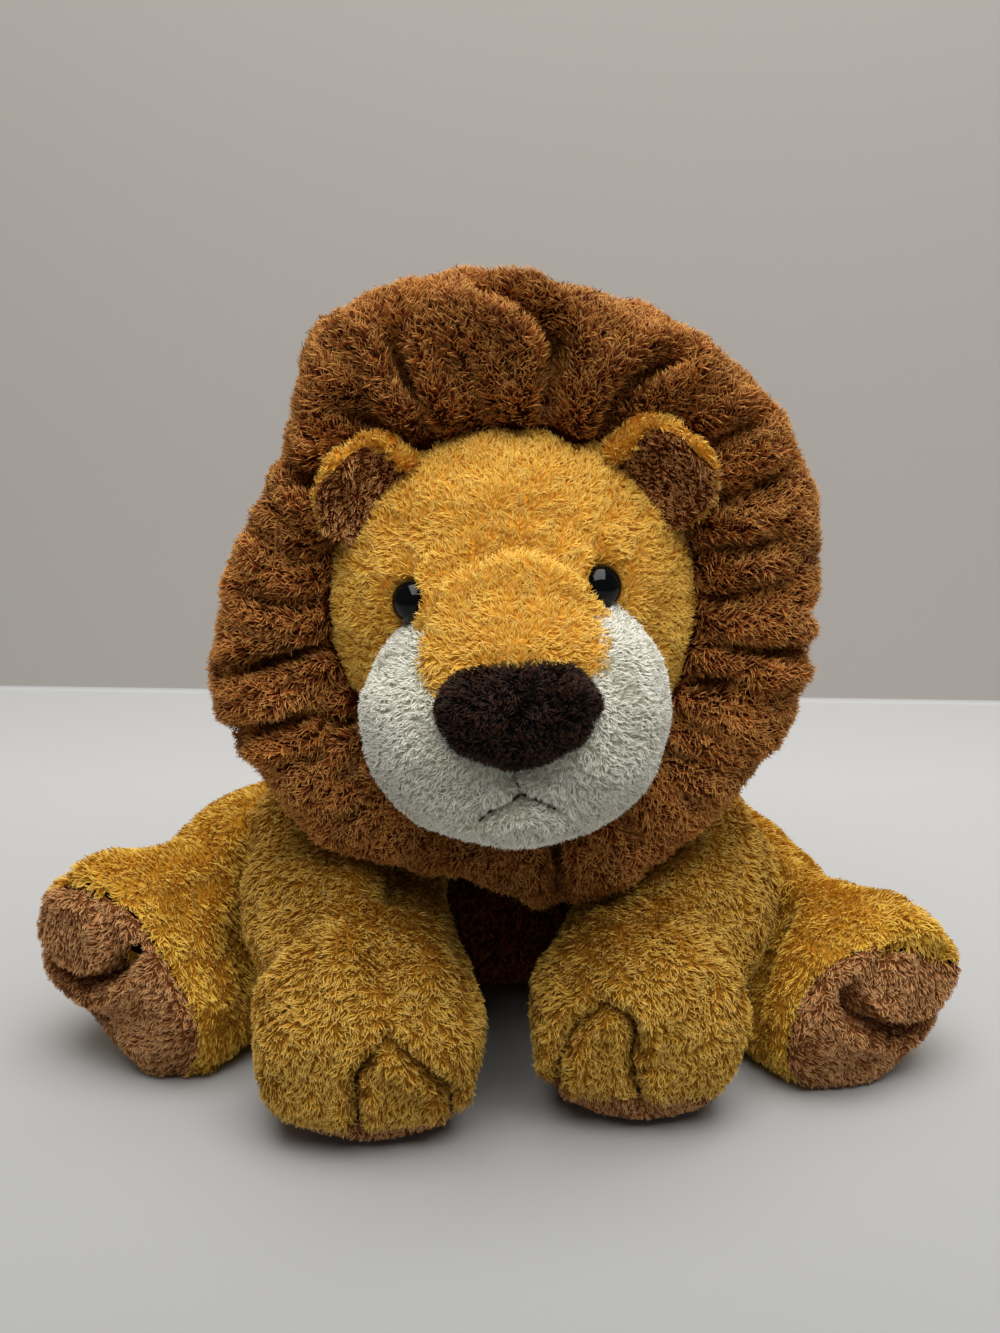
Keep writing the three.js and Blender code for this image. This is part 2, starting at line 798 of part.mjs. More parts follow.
function mouthThread(radius) {
  const onMuzzle = (x, z) => meet(muzzleOuter, new THREE.Vector3(x, 0, z), Y);
  const fork = mouthShares.map(([across, down]) =>
    onMuzzle(across * mouthHalfWidth, -THREE.MathUtils.lerp(mouthFork, mouthDrop, down)),
  );
  const stem = [mouthTop, (mouthTop + mouthFork) / 2, mouthFork].map((drop) => onMuzzle(0, -drop));
  return threadAlong(fork, radius).add(threadAlong(stem, radius));
}

const mouthGroove = mouthThread(threadRadius + seamGap);
place(
  "muzzle_cover",
  muzzleOuter
    .subtract(muzzleForm(clothThickness, small))
    .subtract(pastHead)
    .subtract(eyeClearance)
    .subtract(mouthGroove),
  white,
  head,
);
place(
  "muzzle_filling",
  muzzleForm(clothThickness + seamGap + threadRadius, small).subtract(headForm(-2 * seamGap, round)),
  wadding,
  head,
);
place("nose_bridge", bridge, golden, head);
place("nose", nose, darkBrown, head);
place("mouth_stitch", mouthThread(threadRadius), thread, head);

// Ears: a golden shell with a brown lining set into its front
for (const { name, sign, lift } of sides) {
  const centre = new THREE.Vector3(
    sign * earReachFromHead * Math.cos(lift),
    -maneReach - maneThickness / 2 - earForward,
    earReachFromHead * Math.sin(lift),
  );
  const radii = new THREE.Vector3(earRadius, earThickness / 2, earRadius);
  const behindEar = joined([pastHead, maneRing(-seamGap, maneSteps)]);
  const shell = ellipsoid(centre, radii, plain);
  const liningRadii = new THREE.Vector3(
    earRadius * earLiningShare,
    liningThickness / 2,
    earRadius * earLiningShare,
  );
  const liningCentre = centre.clone().setY(centre.y - earThickness / 2 + liningThickness / 2);
  const lining = (margin) =>
    ellipsoid(liningCentre, liningRadii.clone().addScalar(margin), plain);
  place("ear_" + name, shell.subtract(behindEar).subtract(lining(seamGap)), golden, head);
  place("ear_lining_" + name, lining(0).subtract(behindEar), tan, head);
}

export default group;
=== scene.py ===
"""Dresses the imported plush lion: stuffed skins, cut pile, button eyes and stitching, in a plain studio.

Lengths are in millimetres until a mesh is built. The lion looks along -Y and Z is up. Left is -X, as
seen from the front.
"""

import logging
import math
from dataclasses import dataclass, field, replace
from enum import Enum
from typing import Callable, Sequence

import bpy
import numpy as np
from bpy.types import Material, Mesh, Node, NodeSocket, NodeTree, Object
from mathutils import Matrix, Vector
from mathutils.bvhtree import BVHTree


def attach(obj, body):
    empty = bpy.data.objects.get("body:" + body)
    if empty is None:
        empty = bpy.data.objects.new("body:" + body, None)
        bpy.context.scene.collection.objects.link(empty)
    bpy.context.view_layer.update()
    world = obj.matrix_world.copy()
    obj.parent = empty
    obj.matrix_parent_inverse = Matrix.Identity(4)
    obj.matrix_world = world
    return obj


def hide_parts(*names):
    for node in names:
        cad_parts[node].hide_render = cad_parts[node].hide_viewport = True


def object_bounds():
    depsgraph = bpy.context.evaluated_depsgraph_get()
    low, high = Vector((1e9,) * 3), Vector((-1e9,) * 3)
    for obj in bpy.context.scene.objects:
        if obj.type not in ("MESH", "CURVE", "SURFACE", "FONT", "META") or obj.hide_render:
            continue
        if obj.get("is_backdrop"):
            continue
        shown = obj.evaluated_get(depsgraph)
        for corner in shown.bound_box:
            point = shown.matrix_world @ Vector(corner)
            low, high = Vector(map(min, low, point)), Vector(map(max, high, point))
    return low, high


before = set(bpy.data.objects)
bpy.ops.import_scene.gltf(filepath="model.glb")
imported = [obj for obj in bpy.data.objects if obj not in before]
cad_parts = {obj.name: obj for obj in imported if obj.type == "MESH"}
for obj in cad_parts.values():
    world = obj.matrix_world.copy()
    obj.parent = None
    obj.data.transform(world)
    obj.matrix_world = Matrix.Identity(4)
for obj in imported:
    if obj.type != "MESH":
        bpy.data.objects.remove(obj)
cad_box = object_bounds()

log = logging.getLogger("plush lion")
logging.basicConfig(level=logging.INFO, format="%(message)s")

MM = 0.001
X_AXIS = np.array([1.0, 0.0, 0.0])
Y_AXIS = np.array([0.0, 1.0, 0.0])
Z_AXIS = np.array([0.0, 0.0, 1.0])
PILE_MAP = "OFBake"
# How far off a skin a line starts that is cast on to it.
CAST = 250.0
# The lowest that a strand's edge and its middle line come to the floor.
EDGE_FLOOR = 0.15
STRAND_FLOOR = 0.3
# Points this near to a seam or to the floor stay where they are while a skin is stuffed.
SEAM_HOLD = 1.6
FLOOR_HOLD = 3.0

Array = np.ndarray
Rows = Sequence[Sequence[float]]
Triple = tuple[float, float, float]
Shade = tuple[float, float, float, float]
Dye = tuple[int, int, int]
Field = Callable[[Array], Array]
# A crease is its depth, half the width of its furrow, and the puff beside it.
Crease = tuple[float, float, float]


class Side(Enum):
    """A side of the lion, as seen from the front."""

    LEFT = "left"
    RIGHT = "right"

    @property
    def sign(self) -> float:
        """The side's direction along X."""
        return -1.0 if self is Side.LEFT else 1.0


# Numbers and space


def unit(rows: Array) -> Array:
    """Each row at length one."""
    return rows / np.maximum(np.linalg.norm(rows, axis=-1, keepdims=True), 1e-9)


def ease(value: Array, low: float, high: float) -> Array:
    """A soft step from 0 at low to 1 at high."""
    share = np.clip((value - low) / (high - low), 0.0, 1.0)
    return share * share * (3.0 - 2.0 * share)


def spline(rows: Rows, shares: Array) -> Array:
    """A smooth curve through rows of numbers.

    Args:
        rows: The rows it passes through, evenly spaced along it.
        shares: Where to read it, from 0 to 1.

    Returns:
        One row for each share.
    """
    knots = np.asarray(rows, float)
    padded = np.vstack([2 * knots[0] - knots[1], knots, 2 * knots[-1] - knots[-2]])
    place = np.clip(shares, 0.0, 1.0) * (len(knots) - 1)
    step = np.minimum(place.astype(int), len(knots) - 2)
    t = (place - step)[:, None]
    before, start, end, after = (padded[step + k] for k in range(4))
    return 0.5 * (
        2 * start
        + (end - before) * t
        + (2 * before - 5 * start + 4 * end - after) * t**2
        + (3 * start - before - 3 * end + after) * t**3
    )


def turned(points: Array, pivot: Array, degrees: float) -> Array:
    """Points turned about the upright line through a pivot."""
    angle = math.radians(degrees)
    across = points - pivot
    x = across[:, 0] * math.cos(angle) - across[:, 1] * math.sin(angle)
    y = across[:, 0] * math.sin(angle) + across[:, 1] * math.cos(angle)
    return np.column_stack([x, y, across[:, 2]]) + pivot


class Ripple:
    """Smooth seeded noise in space: sine waves that run in many directions."""

    waves = 9

    def __init__(self, seed: int, size: float) -> None:
        """Draws the waves.

        Args:
            seed: Seed of the draw.
            size: Length of a typical wave.
        """
        rng = np.random.default_rng(seed)
        lengths = rng.uniform(0.6, 1.7, (self.waves, 1)) * 2 * math.pi / size
        self.turns = unit(rng.normal(size=(self.waves, 3))) * lengths
        self.starts = rng.uniform(0, 2 * math.pi, self.waves)

    def at(self, points: Array) -> Array:
        """The noise at points, mostly from -1 to 1."""
        return np.sin(points @ self.turns.T + self.starts).mean(1) * math.sqrt(self.waves)


@dataclass
class Surface:
    """A closed sewn skin as points, four-sided and three-sided faces."""

    points: Array
    quads: Array
    fans: Array

    @classmethod
    def capped(cls, rings: Array, first: Array, last: Array) -> "Surface":
        """A skin over rings that is closed by a point at each end.

        Args:
            rings: Points by ring, by side.
            first: The point before the first ring.
            last: The point after the last ring.

        Returns:
            The skin, facing outwards.
        """
        count, sides, _ = rings.shape
        index = np.arange(count * sides).reshape(count, sides)
        after = np.roll(index, -1, axis=1)
        quads = np.stack([index[:-1], after[:-1], after[1:], index[1:]], -1).reshape(-1, 4)
        tip, end = count * sides, count * sides + 1
        start_fan = np.stack([np.full(sides, tip), after[0], index[0]], -1)
        end_fan = np.stack([np.full(sides, end), index[-1], after[-1]], -1)
        points = np.vstack([rings.reshape(-1, 3), first, last])
        return cls(points, quads, np.vstack([start_fan, end_fan])).facing_out()

    @classmethod
    def ring(cls, sections: Array) -> "Surface":
        """A closed skin over sections that run round a ring.

        Args:
            sections: Points by step round the ring, by step round the section.

        Returns:
            The skin, facing outwards.
        """
        steps, sides, _ = sections.shape
        index = np.arange(steps * sides).reshape(steps, sides)
        along, after = np.roll(index, -1, axis=0), np.roll(index, -1, axis=1)
        both = np.roll(along, -1, axis=1)
        quads = np.stack([index, after, both, along], -1).reshape(-1, 4)
        return cls(sections.reshape(-1, 3), quads, np.zeros((0, 3), int)).facing_out()

    def triangles(self) -> Array:
        """All faces as triangles."""
        return np.vstack([self.quads[:, [0, 1, 2]], self.quads[:, [0, 2, 3]], self.fans])

    def facing_out(self) -> "Surface":
        """The same skin with its faces turned outwards."""
        a, b, c = (self.points[self.triangles()[:, k]] for k in range(3))
        if np.einsum("ij,ij->i", a, np.cross(b, c)).sum() < 0:
            self.quads, self.fans = self.quads[:, ::-1].copy(), self.fans[:, ::-1].copy()
        return self

    def normals(self) -> Array:
        """Directions straight out of the skin at its points."""
        triangles = self.triangles()
        a, b, c = (self.points[triangles[:, k]] for k in range(3))
        faces = np.cross(b - a, c - a)
        total = np.zeros_like(self.points)
        for axis in range(3):
            for corner in range(3):
                at = triangles[:, corner]
                total[:, axis] += np.bincount(at, faces[:, axis], len(self.points))
        return unit(total)

    def swell(self, amount: Array) -> None:
        """Moves every point out of the skin by an amount of its own."""
        self.points = self.points + self.normals() * amount[:, None]

    def ripple(self, height: float, seed: int, size: float, shift: float = 0.0) -> None:
        """Swells the skin by seeded noise of a height and a wave size, and by a shift everywhere."""
        self.swell(height * Ripple(seed, size).at(self.points) + shift)

    def settle(self, floor: float, softness: float) -> None:
        """Presses the skin flat, softly, where it would sink below the floor."""
        above = self.points[:, 2] - floor
        self.points[:, 2] = floor + 0.5 * (above + np.sqrt(above**2 + softness**2))

    def trace(self, line: Rows, direction: Array, spacing: float = 0.6) -> Array:
        """Points on the skin under a smooth line that is cast on to it.

        Args:
            line: Points that the line passes through, off the skin.
            direction: The way it is cast.
            spacing: Distance between points.

        Returns:
            The points that met the skin.
        """
        knots = np.asarray(line, float)
        length = np.linalg.norm(np.diff(knots, axis=0), axis=1).sum()
        shares = np.linspace(0, 1, max(3, int(length / spacing)))
        tree = BVHTree.FromPolygons(self.points.tolist(), self.triangles().tolist())
        starts = (spline(knots, shares) - direction * CAST).tolist()
        places = (tree.ray_cast(start, direction.tolist())[0] for start in starts)
        return np.array([tuple(place) for place in places if place is not None])

    def under(self, line: Rows, ahead: float = CAST, spacing: float = 0.6) -> Array:
        """Points on the skin's front under a line of x and z that is cast back from ahead of it."""
        return self.trace([(x, -ahead, z) for x, z in line], Y_AXIS, spacing)

    def crease(self, line: Array, depth: float, width: float, puff: float) -> None:
        """Draws the skin in along a line, and lets it puff up beside it.

        Args:
            line: Points on the skin.
            depth: How far it is drawn in at the middle.
            width: Half the width of the furrow.
            puff: How far the skin rises beside it.
        """
        if not len(line):
            return
        low, high = line.min(0) - 4 * width, line.max(0) + 4 * width
        near = np.flatnonzero(np.all((self.points > low) & (self.points < high), axis=1))
        gaps = np.linalg.norm(self.points[near][:, None] - line[None], axis=2)
        gap = gaps.min(1)
        place = gaps.argmin(1) / max(1, len(line) - 1)
        fade = np.sqrt(np.clip(4 * place * (1 - place), 0.0, 1.0)) * 0.75 + 0.25
        furrow = depth * np.exp(-((gap / width) ** 2))
        shoulder = puff * np.exp(-(((gap - 2.1 * width) / width) ** 2))
        amount = np.zeros(len(self.points))
        amount[near] = (shoulder - furrow) * fade
        self.swell(amount)

    def part(self, inside: Array) -> "Surface":
        """The faces that have more than half of their points marked.

        Args:
            inside: A mark for each point.

        Returns:
            Those faces as a skin of their own.
        """
        quads = self.quads[inside[self.quads].mean(1) > 0.5]
        fans = self.fans[inside[self.fans].mean(1) > 0.5]
        used = np.unique(np.concatenate([quads.ravel(), fans.ravel()]))
        place = np.zeros(len(self.points), int)
        place[used] = np.arange(len(used))
        return Surface(self.points[used], place[quads], place[fans])


def tube(
    stations: Rows, side: Array | None, rings: int, sides: int, underside: float = 1.0
) -> tuple[Array, Array]:
    """Rings of a stuffed tube.

    Args:
        stations: Rows of x, y, z, half width and half height along the tube.
        side: The tube's side direction, or None where that is level and square to the tube.
        rings: Rings along the tube.
        sides: Points round each ring.
        underside: The power that the lower half's sine takes, below 1 where it has settled flat.

    Returns:
        The points by ring and side, and each ring's middle with its half width and half height.
    """
    rows = np.asarray(stations, float)
    shares = 0.5 - 0.5 * np.cos(np.linspace(0, math.pi, rings + 2))
    path = spline(rows[:, :3], shares)
    sizes = np.sqrt(np.clip(spline(rows[:, 3:] ** 2, shares), 0.0, None))
    along = unit(np.gradient(path, axis=0))
    level = np.cross(along, Z_AXIS + 0.01 * X_AXIS)
    side = unit(level if side is None else np.tile(side, (len(along), 1)))
    up = unit(np.cross(along, side))
    up *= np.where(up[:, 2:] + up[:, 1:2] * 0.5 < 0, -1.0, 1.0)
    angles = np.linspace(0, 2 * math.pi, sides, endpoint=False)
    rise = np.sin(angles)
    rise = np.where(rise < 0, -(np.abs(rise) ** underside), rise)
    points = (
        path[:, None]
        + side[:, None] * (sizes[:, :1] * np.cos(angles))[..., None]
        + up[:, None] * (sizes[:, 1:] * rise)[..., None]
    )
    return points, np.column_stack([path, sizes])


def quartered(section: Array, power: float) -> Array:
    """How much nearer a section's edge is where its quarter is drawn in from an ellipse.

    Args:
        section: Places on the ellipse, as shares of its half width and half height.
        power: The quarter's power, where 2 leaves the ellipse and 1 is a straight cut.

    Returns:
        A share of the ellipse's reach for each place.
    """
    shares = (np.abs(unit(section)) ** power).sum(-1)
    return np.maximum(shares, 1e-9) ** (-1 / power)


def sewn(points: Array) -> Surface:
    """A tube's skin, with its first and last ring drawn together to points."""
    return Surface.capped(points[1:-1], points[0].mean(0), points[-1].mean(0))


@dataclass(frozen=True)
class Stuffing:
    """Puffs a tube's skin up between its held seams, by a cloth simulation with pressure inside."""

    pressure: float = 36.0
    frames: int = 14
    most: float = 3.0
    enlarged: float = 10.0
    stiffness: float = 12.0

    def fill(self, points: Array, held: Array) -> Array:
        """Runs the simulation on every second point and spreads its result over all of them.

        Args:
            points: Points by ring and side.
            held: Marks of the points that seams, the floor or other parts hold.

        Returns:
            The puffed points, on the same mean size.
        """
        rows = np.arange(1, len(points) - 1, 2)
        coarse = points[rows, ::2]
        skin = Surface.capped(coarse, points[0].mean(0), points[-1].mean(0))
        marks = np.append(held[rows, ::2].ravel(), [True, True])
        moved = self.simulated(skin, marks)
        log.info("cloth settled by %.2f mm on the mean", np.linalg.norm(moved, axis=1).mean())
        normals = skin.normals()
        moved -= normals * ((moved * normals).sum(1).mean() * ~marks)[:, None]
        reach = np.linalg.norm(moved, axis=1, keepdims=True)
        moved *= np.minimum(1.0, self.most / np.maximum(reach, 1e-6))
        moved = moved[:-2].reshape(coarse.shape)
        around = np.empty((len(rows), points.shape[1], 3))
        around[:, ::2] = moved
        around[:, 1::2] = (moved + np.roll(moved, -1, axis=1)) / 2
        place = np.clip((np.arange(len(points)) - rows[0]) / 2, 0, len(rows) - 1)
        low = place.astype(int)
        share = (place - low)[:, None, None]
        spread = around[low] * (1 - share) + around[np.minimum(low + 1, len(rows) - 1)] * share
        return points + spread

    def simulated(self, skin: "Surface", held: Array) -> Array:
        """How far the simulation moves each point of a skin.

        Args:
            skin: The skin, in millimetres.
            held: Marks of the points that stay where they are.

        Returns:
            One move for each point, in millimetres.
        """
        grown = Surface(skin.points * self.enlarged, skin.quads, skin.fans)
        thing = bpy.data.objects.new("stuffing", mesh_of("stuffing", grown))
        scene = bpy.context.scene
        scene.collection.objects.link(thing)
        thing.vertex_groups.new(name="held").add(np.flatnonzero(held).tolist(), 1.0, "REPLACE")
        cloth = thing.modifiers.new("cloth", "CLOTH")
        cloth.collision_settings.use_collision = False
        settings = cloth.settings
        settings.vertex_group_mass = "held"
        settings.use_pressure = True
        settings.uniform_pressure_force = self.pressure
        settings.tension_stiffness = self.stiffness
        settings.compression_stiffness = self.stiffness
        settings.effector_weights.gravity = 0.0
        for number in range(1, self.frames + 1):
            scene.frame_set(number)
        shaped = thing.evaluated_get(bpy.context.evaluated_depsgraph_get()).data
        places = np.empty(len(shaped.vertices) * 3)
        shaped.vertices.foreach_get("co", places)
        bpy.data.objects.remove(thing)
        scene.frame_set(1)
        return places.reshape(-1, 3) / (MM * self.enlarged) - skin.points


@dataclass(frozen=True)
class Lump:
    """An ellipsoid of stuffing under a skin."""

    middle: tuple[float, float, float]
    radii: tuple[float, float, float]
    pitch: float = 0.0

    def reach(self, origin: Array, directions: Array) -> Array:
        """How far the lump's far side is from an origin.

        Args:
            origin: Where the rays start.
            directions: Their directions.

        Returns:
            One distance for each ray, and 0 where it misses.
        """
        angle = math.radians(self.pitch)
        back, rise = math.cos(angle), math.sin(angle)
        turn = np.array([[1, 0, 0], [0, back, -rise], [0, rise, back]])
        start = (origin - np.array(self.middle)) @ turn / self.radii
        rays = directions @ turn / self.radii
        a = (rays**2).sum(1)
        b = (rays * start).sum(1)
        under = b**2 - a * ((start**2).sum() - 1)
        return np.where(under > 0, (np.sqrt(np.abs(under)) - b) / a, 0.0).clip(0)


def modelled(
    lumps: Sequence[Lump], origin: Sequence[float], softness: float, rings: int, sides: int
) -> Surface:
    """A skin stretched over lumps, whose finest faces are at the front.

    Args:
        lumps: The stuffing.
        origin: A point inside, from which the whole skin can be seen.
        softness: Size of the hollows where lumps meet.
        rings: Rings from front to back.
        sides: Points round each ring.

    Returns:
        The skin.
    """
    start = np.array(origin, float)
    opening = np.linspace(0, math.pi, rings + 2)
    angles = np.linspace(0, 2 * math.pi, sides, endpoint=False)
    wide = np.sin(opening)[:, None]
    rays = np.stack(
        [wide * np.cos(angles), -np.cos(opening)[:, None] * np.ones(sides), wide * np.sin(angles)], -1
    )
    flat = rays.reshape(-1, 3)
    reaches = np.stack([lump.reach(start, flat) for lump in lumps])
    reach = softness * np.log(np.exp(reaches / softness).sum(0))
    points = (start + flat * reach[:, None]).reshape(rays.shape)
    return sewn(points)


@dataclass(frozen=True)
class HeadSpace:
    """The head's own space, which is rolled a little to one side."""

    middle: Triple = (3.0, -82.0, 129.0)
    roll: float = 4.3

    def place(self, points: Array) -> Array:
        """Points of the head's space in the lion's."""
        c, s = math.cos(math.radians(self.roll)), math.sin(math.radians(self.roll))
        return points @ np.array([[c, 0, s], [0, 1, 0], [-s, 0, c]]) + np.array(self.middle)

    def spot(self, point: Array) -> Array:
        """One point of the head's space in the lion's."""
        return self.place(point[None])[0]

    def skin(self, surface: Surface) -> Surface:
        """A skin of the head's space in the lion's."""
        return Surface(self.place(surface.points), surface.quads, surface.fans)


HEAD = HeadSpace()


# Finishes


def colour(red: int, green: int, blue: int) -> Shade:
    """A colour for a shader from its display values, 0 to 255."""

    def linear(value: int) -> float:
        """One channel without its display curve."""
        share = value / 255
        return share / 12.92 if share <= 0.04045 else ((share + 0.055) / 1.055) ** 2.4

    return (linear(red), linear(green), linear(blue), 1.0)


class Graph:
    """Shader nodes under construction."""

    def __init__(self, tree: NodeTree) -> None:
        """Takes the tree to build them in."""
        self.tree = tree

    def feed(self, socket: NodeSocket, value: object) -> None:
        """Gives an input a value, or joins another node's output to it."""
        if isinstance(value, NodeSocket):
            self.tree.links.new(value, socket)
        else:
            socket.default_value = value

    def node(self, kind: str, **values: object) -> Node:
        """Adds a node.

        Args:
            kind: Its kind, such as MapRange.
            values: First its settings, in lower case. Then its inputs, with capitals and with
                underscores for spaces, each a value or another node's output.

        Returns:
            The node.
        """
        made = self.tree.nodes.new("ShaderNode" + kind)
        for key, value in values.items():
            if key.islower():
                setattr(made, key, value)
            else:
                self.feed(made.inputs[key.replace("_", " ")], value)
        return made

    def product(self, first: NodeSocket, second: NodeSocket) -> NodeSocket:
        """One output times another."""
        made = self.node("Math", operation="MULTIPLY")
        self.feed(made.inputs[0], first)
        self.feed(made.inputs[1], second)
        return made.outputs[0]

    def blend(self, share: NodeSocket, first: object, second: object) -> NodeSocket:
        """A colour between two others, with the given share of the second."""
        return self.node("Mix", data_type="RGBA", Factor=share, A=first, B=second).outputs["Result"]

    def span(self, value: NodeSocket, low: float, high: float, top: float = 1.0) -> NodeSocket:
        """A soft step from 0 to top as a value goes from low to high."""
        limits = {"From_Min": low, "From_Max": high, "To_Max": top}
        step = self.node("MapRange", interpolation_type="SMOOTHSTEP", Value=value, **limits)
        return step.outputs["Result"]


class Group(Graph):
    """A shader node group under construction."""

    def __init__(self, name: str, inputs: dict[str, str], outputs: dict[str, str]) -> None:
        """Starts a group.

        Args:
            name: Its name.
            inputs: The kind of each input, such as Float, by its name.
            outputs: The same for each output.
        """
        super().__init__(bpy.data.node_groups.new(name, "ShaderNodeTree"))
        for way, sockets in (("INPUT", inputs), ("OUTPUT", outputs)):
            for label, kind in sockets.items():
                self.tree.interface.new_socket(
                    name=label, in_out=way, socket_type="NodeSocket" + kind
                )
        self.given = self.tree.nodes.new("NodeGroupInput").outputs
        self.wanted = self.tree.nodes.new("NodeGroupOutput").inputs


def pile_dye_and_painted_light_group() -> NodeTree:
    """The group that colours a strand of pile from root to tip: painted shade at the root, partly painted
    highlight at the tip.
    """
    dyes_and_painted_light = dict.fromkeys(("Root", "Deep", "Bright", "Tip"), "Color")
    group = Group("Pile tint", {"Shade": "Float", "Height": "Float", **dyes_and_painted_light}, {"Color": "Color"})
    given = group.given
    body = group.blend(given["Shade"], given["Deep"], given["Bright"])
    # Painted shade: the strand darkens towards its root, where the pile shades itself.
    lower = group.blend(group.span(given["Height"], 0.0, 0.6), given["Root"], body)
    # The tip: partly the pile's own lighter dye, partly a painted highlight where light catches it.
    whole = group.blend(group.span(given["Height"], 0.55, 1.0, 0.8), lower, given["Tip"])
    group.feed(group.wanted["Color"], whole)
    return group.tree


def knit_group() -> NodeTree:
    """The group that gives knitted backing cloth its loops, its uneven dye and painted shade in the
    hollows between the loops.
    """
    inputs = {"Place": "Vector", "Dark": "Color", "Light": "Color", "Loops": "Float"}
    group = Group("Knitted backing", inputs, {"Color": "Color", "Height": "Float"})
    given = group.given
    loops = group.node("TexVoronoi", Vector=given["Place"], Scale=given["Loops"])
    dye = group.node("TexNoise", Vector=given["Place"], Scale=60.0, Detail=4.0)
    height = group.span(loops.outputs["Distance"], 0.7, 0.0)
    # Painted shade: the cloth darkens in the hollows between the loops, and unevenly with the dye.
    uneven = group.product(height, group.span(dye.outputs["Fac"], 0.25, 0.75))
    group.feed(group.wanted["Color"], group.blend(uneven, given["Dark"], given["Light"]))
    group.feed(group.wanted["Height"], height)
    return group.tree


def grain_group() -> NodeTree:
    """The group that spreads fine uneven grain over smooth and twisted surfaces."""
    inputs = {"Place": "Vector", "Scale": "Float", "Low": "Float", "High": "Float"}
    group = Group("Fine grain", inputs, {"Value": "Float"})
    given = group.given
    noise = group.node("TexNoise", Vector=given["Place"], Scale=given["Scale"], Detail=6.0)
    limits = {"From_Min": 0.3, "From_Max": 0.7, "To_Min": given["Low"], "To_Max": given["High"]}
    spread = group.node("MapRange", Value=noise.outputs["Fac"], **limits)
    group.feed(group.wanted["Value"], spread.outputs["Result"])
    return group.tree


@dataclass
class Shaders:
    """The node groups that the finishes share, each built once."""

    pile_tint: NodeTree = field(default_factory=pile_dye_and_painted_light_group)
    knit: NodeTree = field(default_factory=knit_group)
    grain: NodeTree = field(default_factory=grain_group)


class Paint(Graph):
    """A material under construction, with its Principled shader."""

    def __init__(self, name: str) -> None:
        """Starts a material that has only its shader and output."""
        self.material = bpy.data.materials.new(name)
        self.material.use_nodes = True
        super().__init__(self.material.node_tree)
        self.shader = self.tree.nodes["Principled BSDF"]

    def group(self, tree: NodeTree, **values: object) -> Node:
        """Places a node group, with what its inputs take."""
        return self.node("Group", node_tree=tree, **values)

    def place(self) -> NodeSocket:
        """The socket with the place on the object."""
        return self.node("TexCoord").outputs["Object"]

    def set(self, **values: object) -> None:
        """Gives the shader's inputs, named with underscores for spaces, what they take."""
        for key, value in values.items():
            self.feed(self.shader.inputs[key.replace("_", " ")], value)

    def bump(self, height: NodeSocket, distance: float) -> None:
        """Gives the surface fine relief from a height."""
        self.set(Normal=self.node("Bump", Distance=distance, Height=height).outputs["Normal"])


@dataclass(frozen=True)
class PileFinish:
    """Dyed pile, whose colours run from the root through the dark and bright body to the tip: the dark
    root is painted shade, the light tip partly dye and partly a painted highlight.
    """

    name: str
    slot: str
    dyes_and_painted_light: Sequence[Dye]
    roughness: float = 0.75
    sheen: float = 0.15
    loops: float = 900.0

    def shades(self) -> dict[str, Shade]:
        """The root, body and tip colours, with their painted shade and highlight, for the shader, by the
        names of the group's inputs.
        """
        return dict(zip(("Root", "Deep", "Bright", "Tip"), (colour(*dye) for dye in self.dyes_and_painted_light)))

    def pile(self, shaders: Shaders) -> Material:
        """The strands' material."""
        paint, shades = Paint(self.name + " pile"), self.shades()
        reading = paint.node("UVMap", uv_map=PILE_MAP).outputs["UV"]
        spot = paint.node("SeparateXYZ", Vector=reading).outputs
        tint = paint.group(shaders.pile_tint, Shade=spot["X"], Height=spot["Y"], **shades)
        paint.set(Base_Color=tint.outputs["Color"], Roughness=self.roughness)
        paint.set(Specular_IOR_Level=0.25, Sheen_Weight=self.sheen)
        paint.set(Sheen_Roughness=0.5, Sheen_Tint=shades["Tip"])
        return paint.material

    def material(self, shaders: Shaders) -> Material:
        """The material of the cloth that the pile grows from."""
        paint, shades = Paint(self.name + " backing"), self.shades()
        # The backing's dark is the root's painted shade.
        dark, light = shades["Root"], shades["Deep"]
        knit = paint.group(
            shaders.knit, Place=paint.place(), Dark=dark, Light=light, Loops=self.loops
        )
        paint.set(Base_Color=knit.outputs["Color"], Roughness=0.95, Specular_IOR_Level=0.1)
        paint.bump(knit.outputs["Height"], 0.0004)
        return paint.material


@dataclass(frozen=True)
class GrainFinish:
    """A plain coloured finish with fine uneven gloss, for buttons, washers and thread."""

    name: str
    slot: str
    dye: Dye
    low: float
    high: float
    scale: float
    relief: float = 0.0
    gloss: float = 0.5

    def material(self, shaders: Shaders) -> Material:
        """The finish as a material."""
        paint = Paint(self.name)
        grain = paint.group(
            shaders.grain, Place=paint.place(), Scale=self.scale, Low=self.low, High=self.high
        )
        rough = grain.outputs["Value"]
        paint.set(Base_Color=colour(*self.dye), Specular_IOR_Level=self.gloss, Roughness=rough)
        if self.relief:
            paint.bump(rough, self.relief)
        return paint.material


# The face, front legs and hind legs share one golden plush. Their three dyes are partly its own uneven
# tone and partly painted light: lighter on the face and hind legs, where light falls on them, and darker
# on the front legs, which the head and mane shade.
FACE_GOLD_PAINTED_LIGHT = PileFinish(
    "face gold", "golden_plush", ((212, 146, 46), (236, 176, 56), (248, 200, 78), (255, 226, 126))
)
LEG_GOLD_PAINTED_SHADE = PileFinish(
    "leg gold", "golden_plush", ((160, 106, 28), (192, 138, 36), (230, 180, 64), (252, 222, 126))
)
HIND_GOLD_PAINTED_LIGHT = PileFinish(
    "hind gold", "golden_plush", ((192, 134, 38), (228, 172, 48), (244, 202, 76), (252, 222, 118))
)
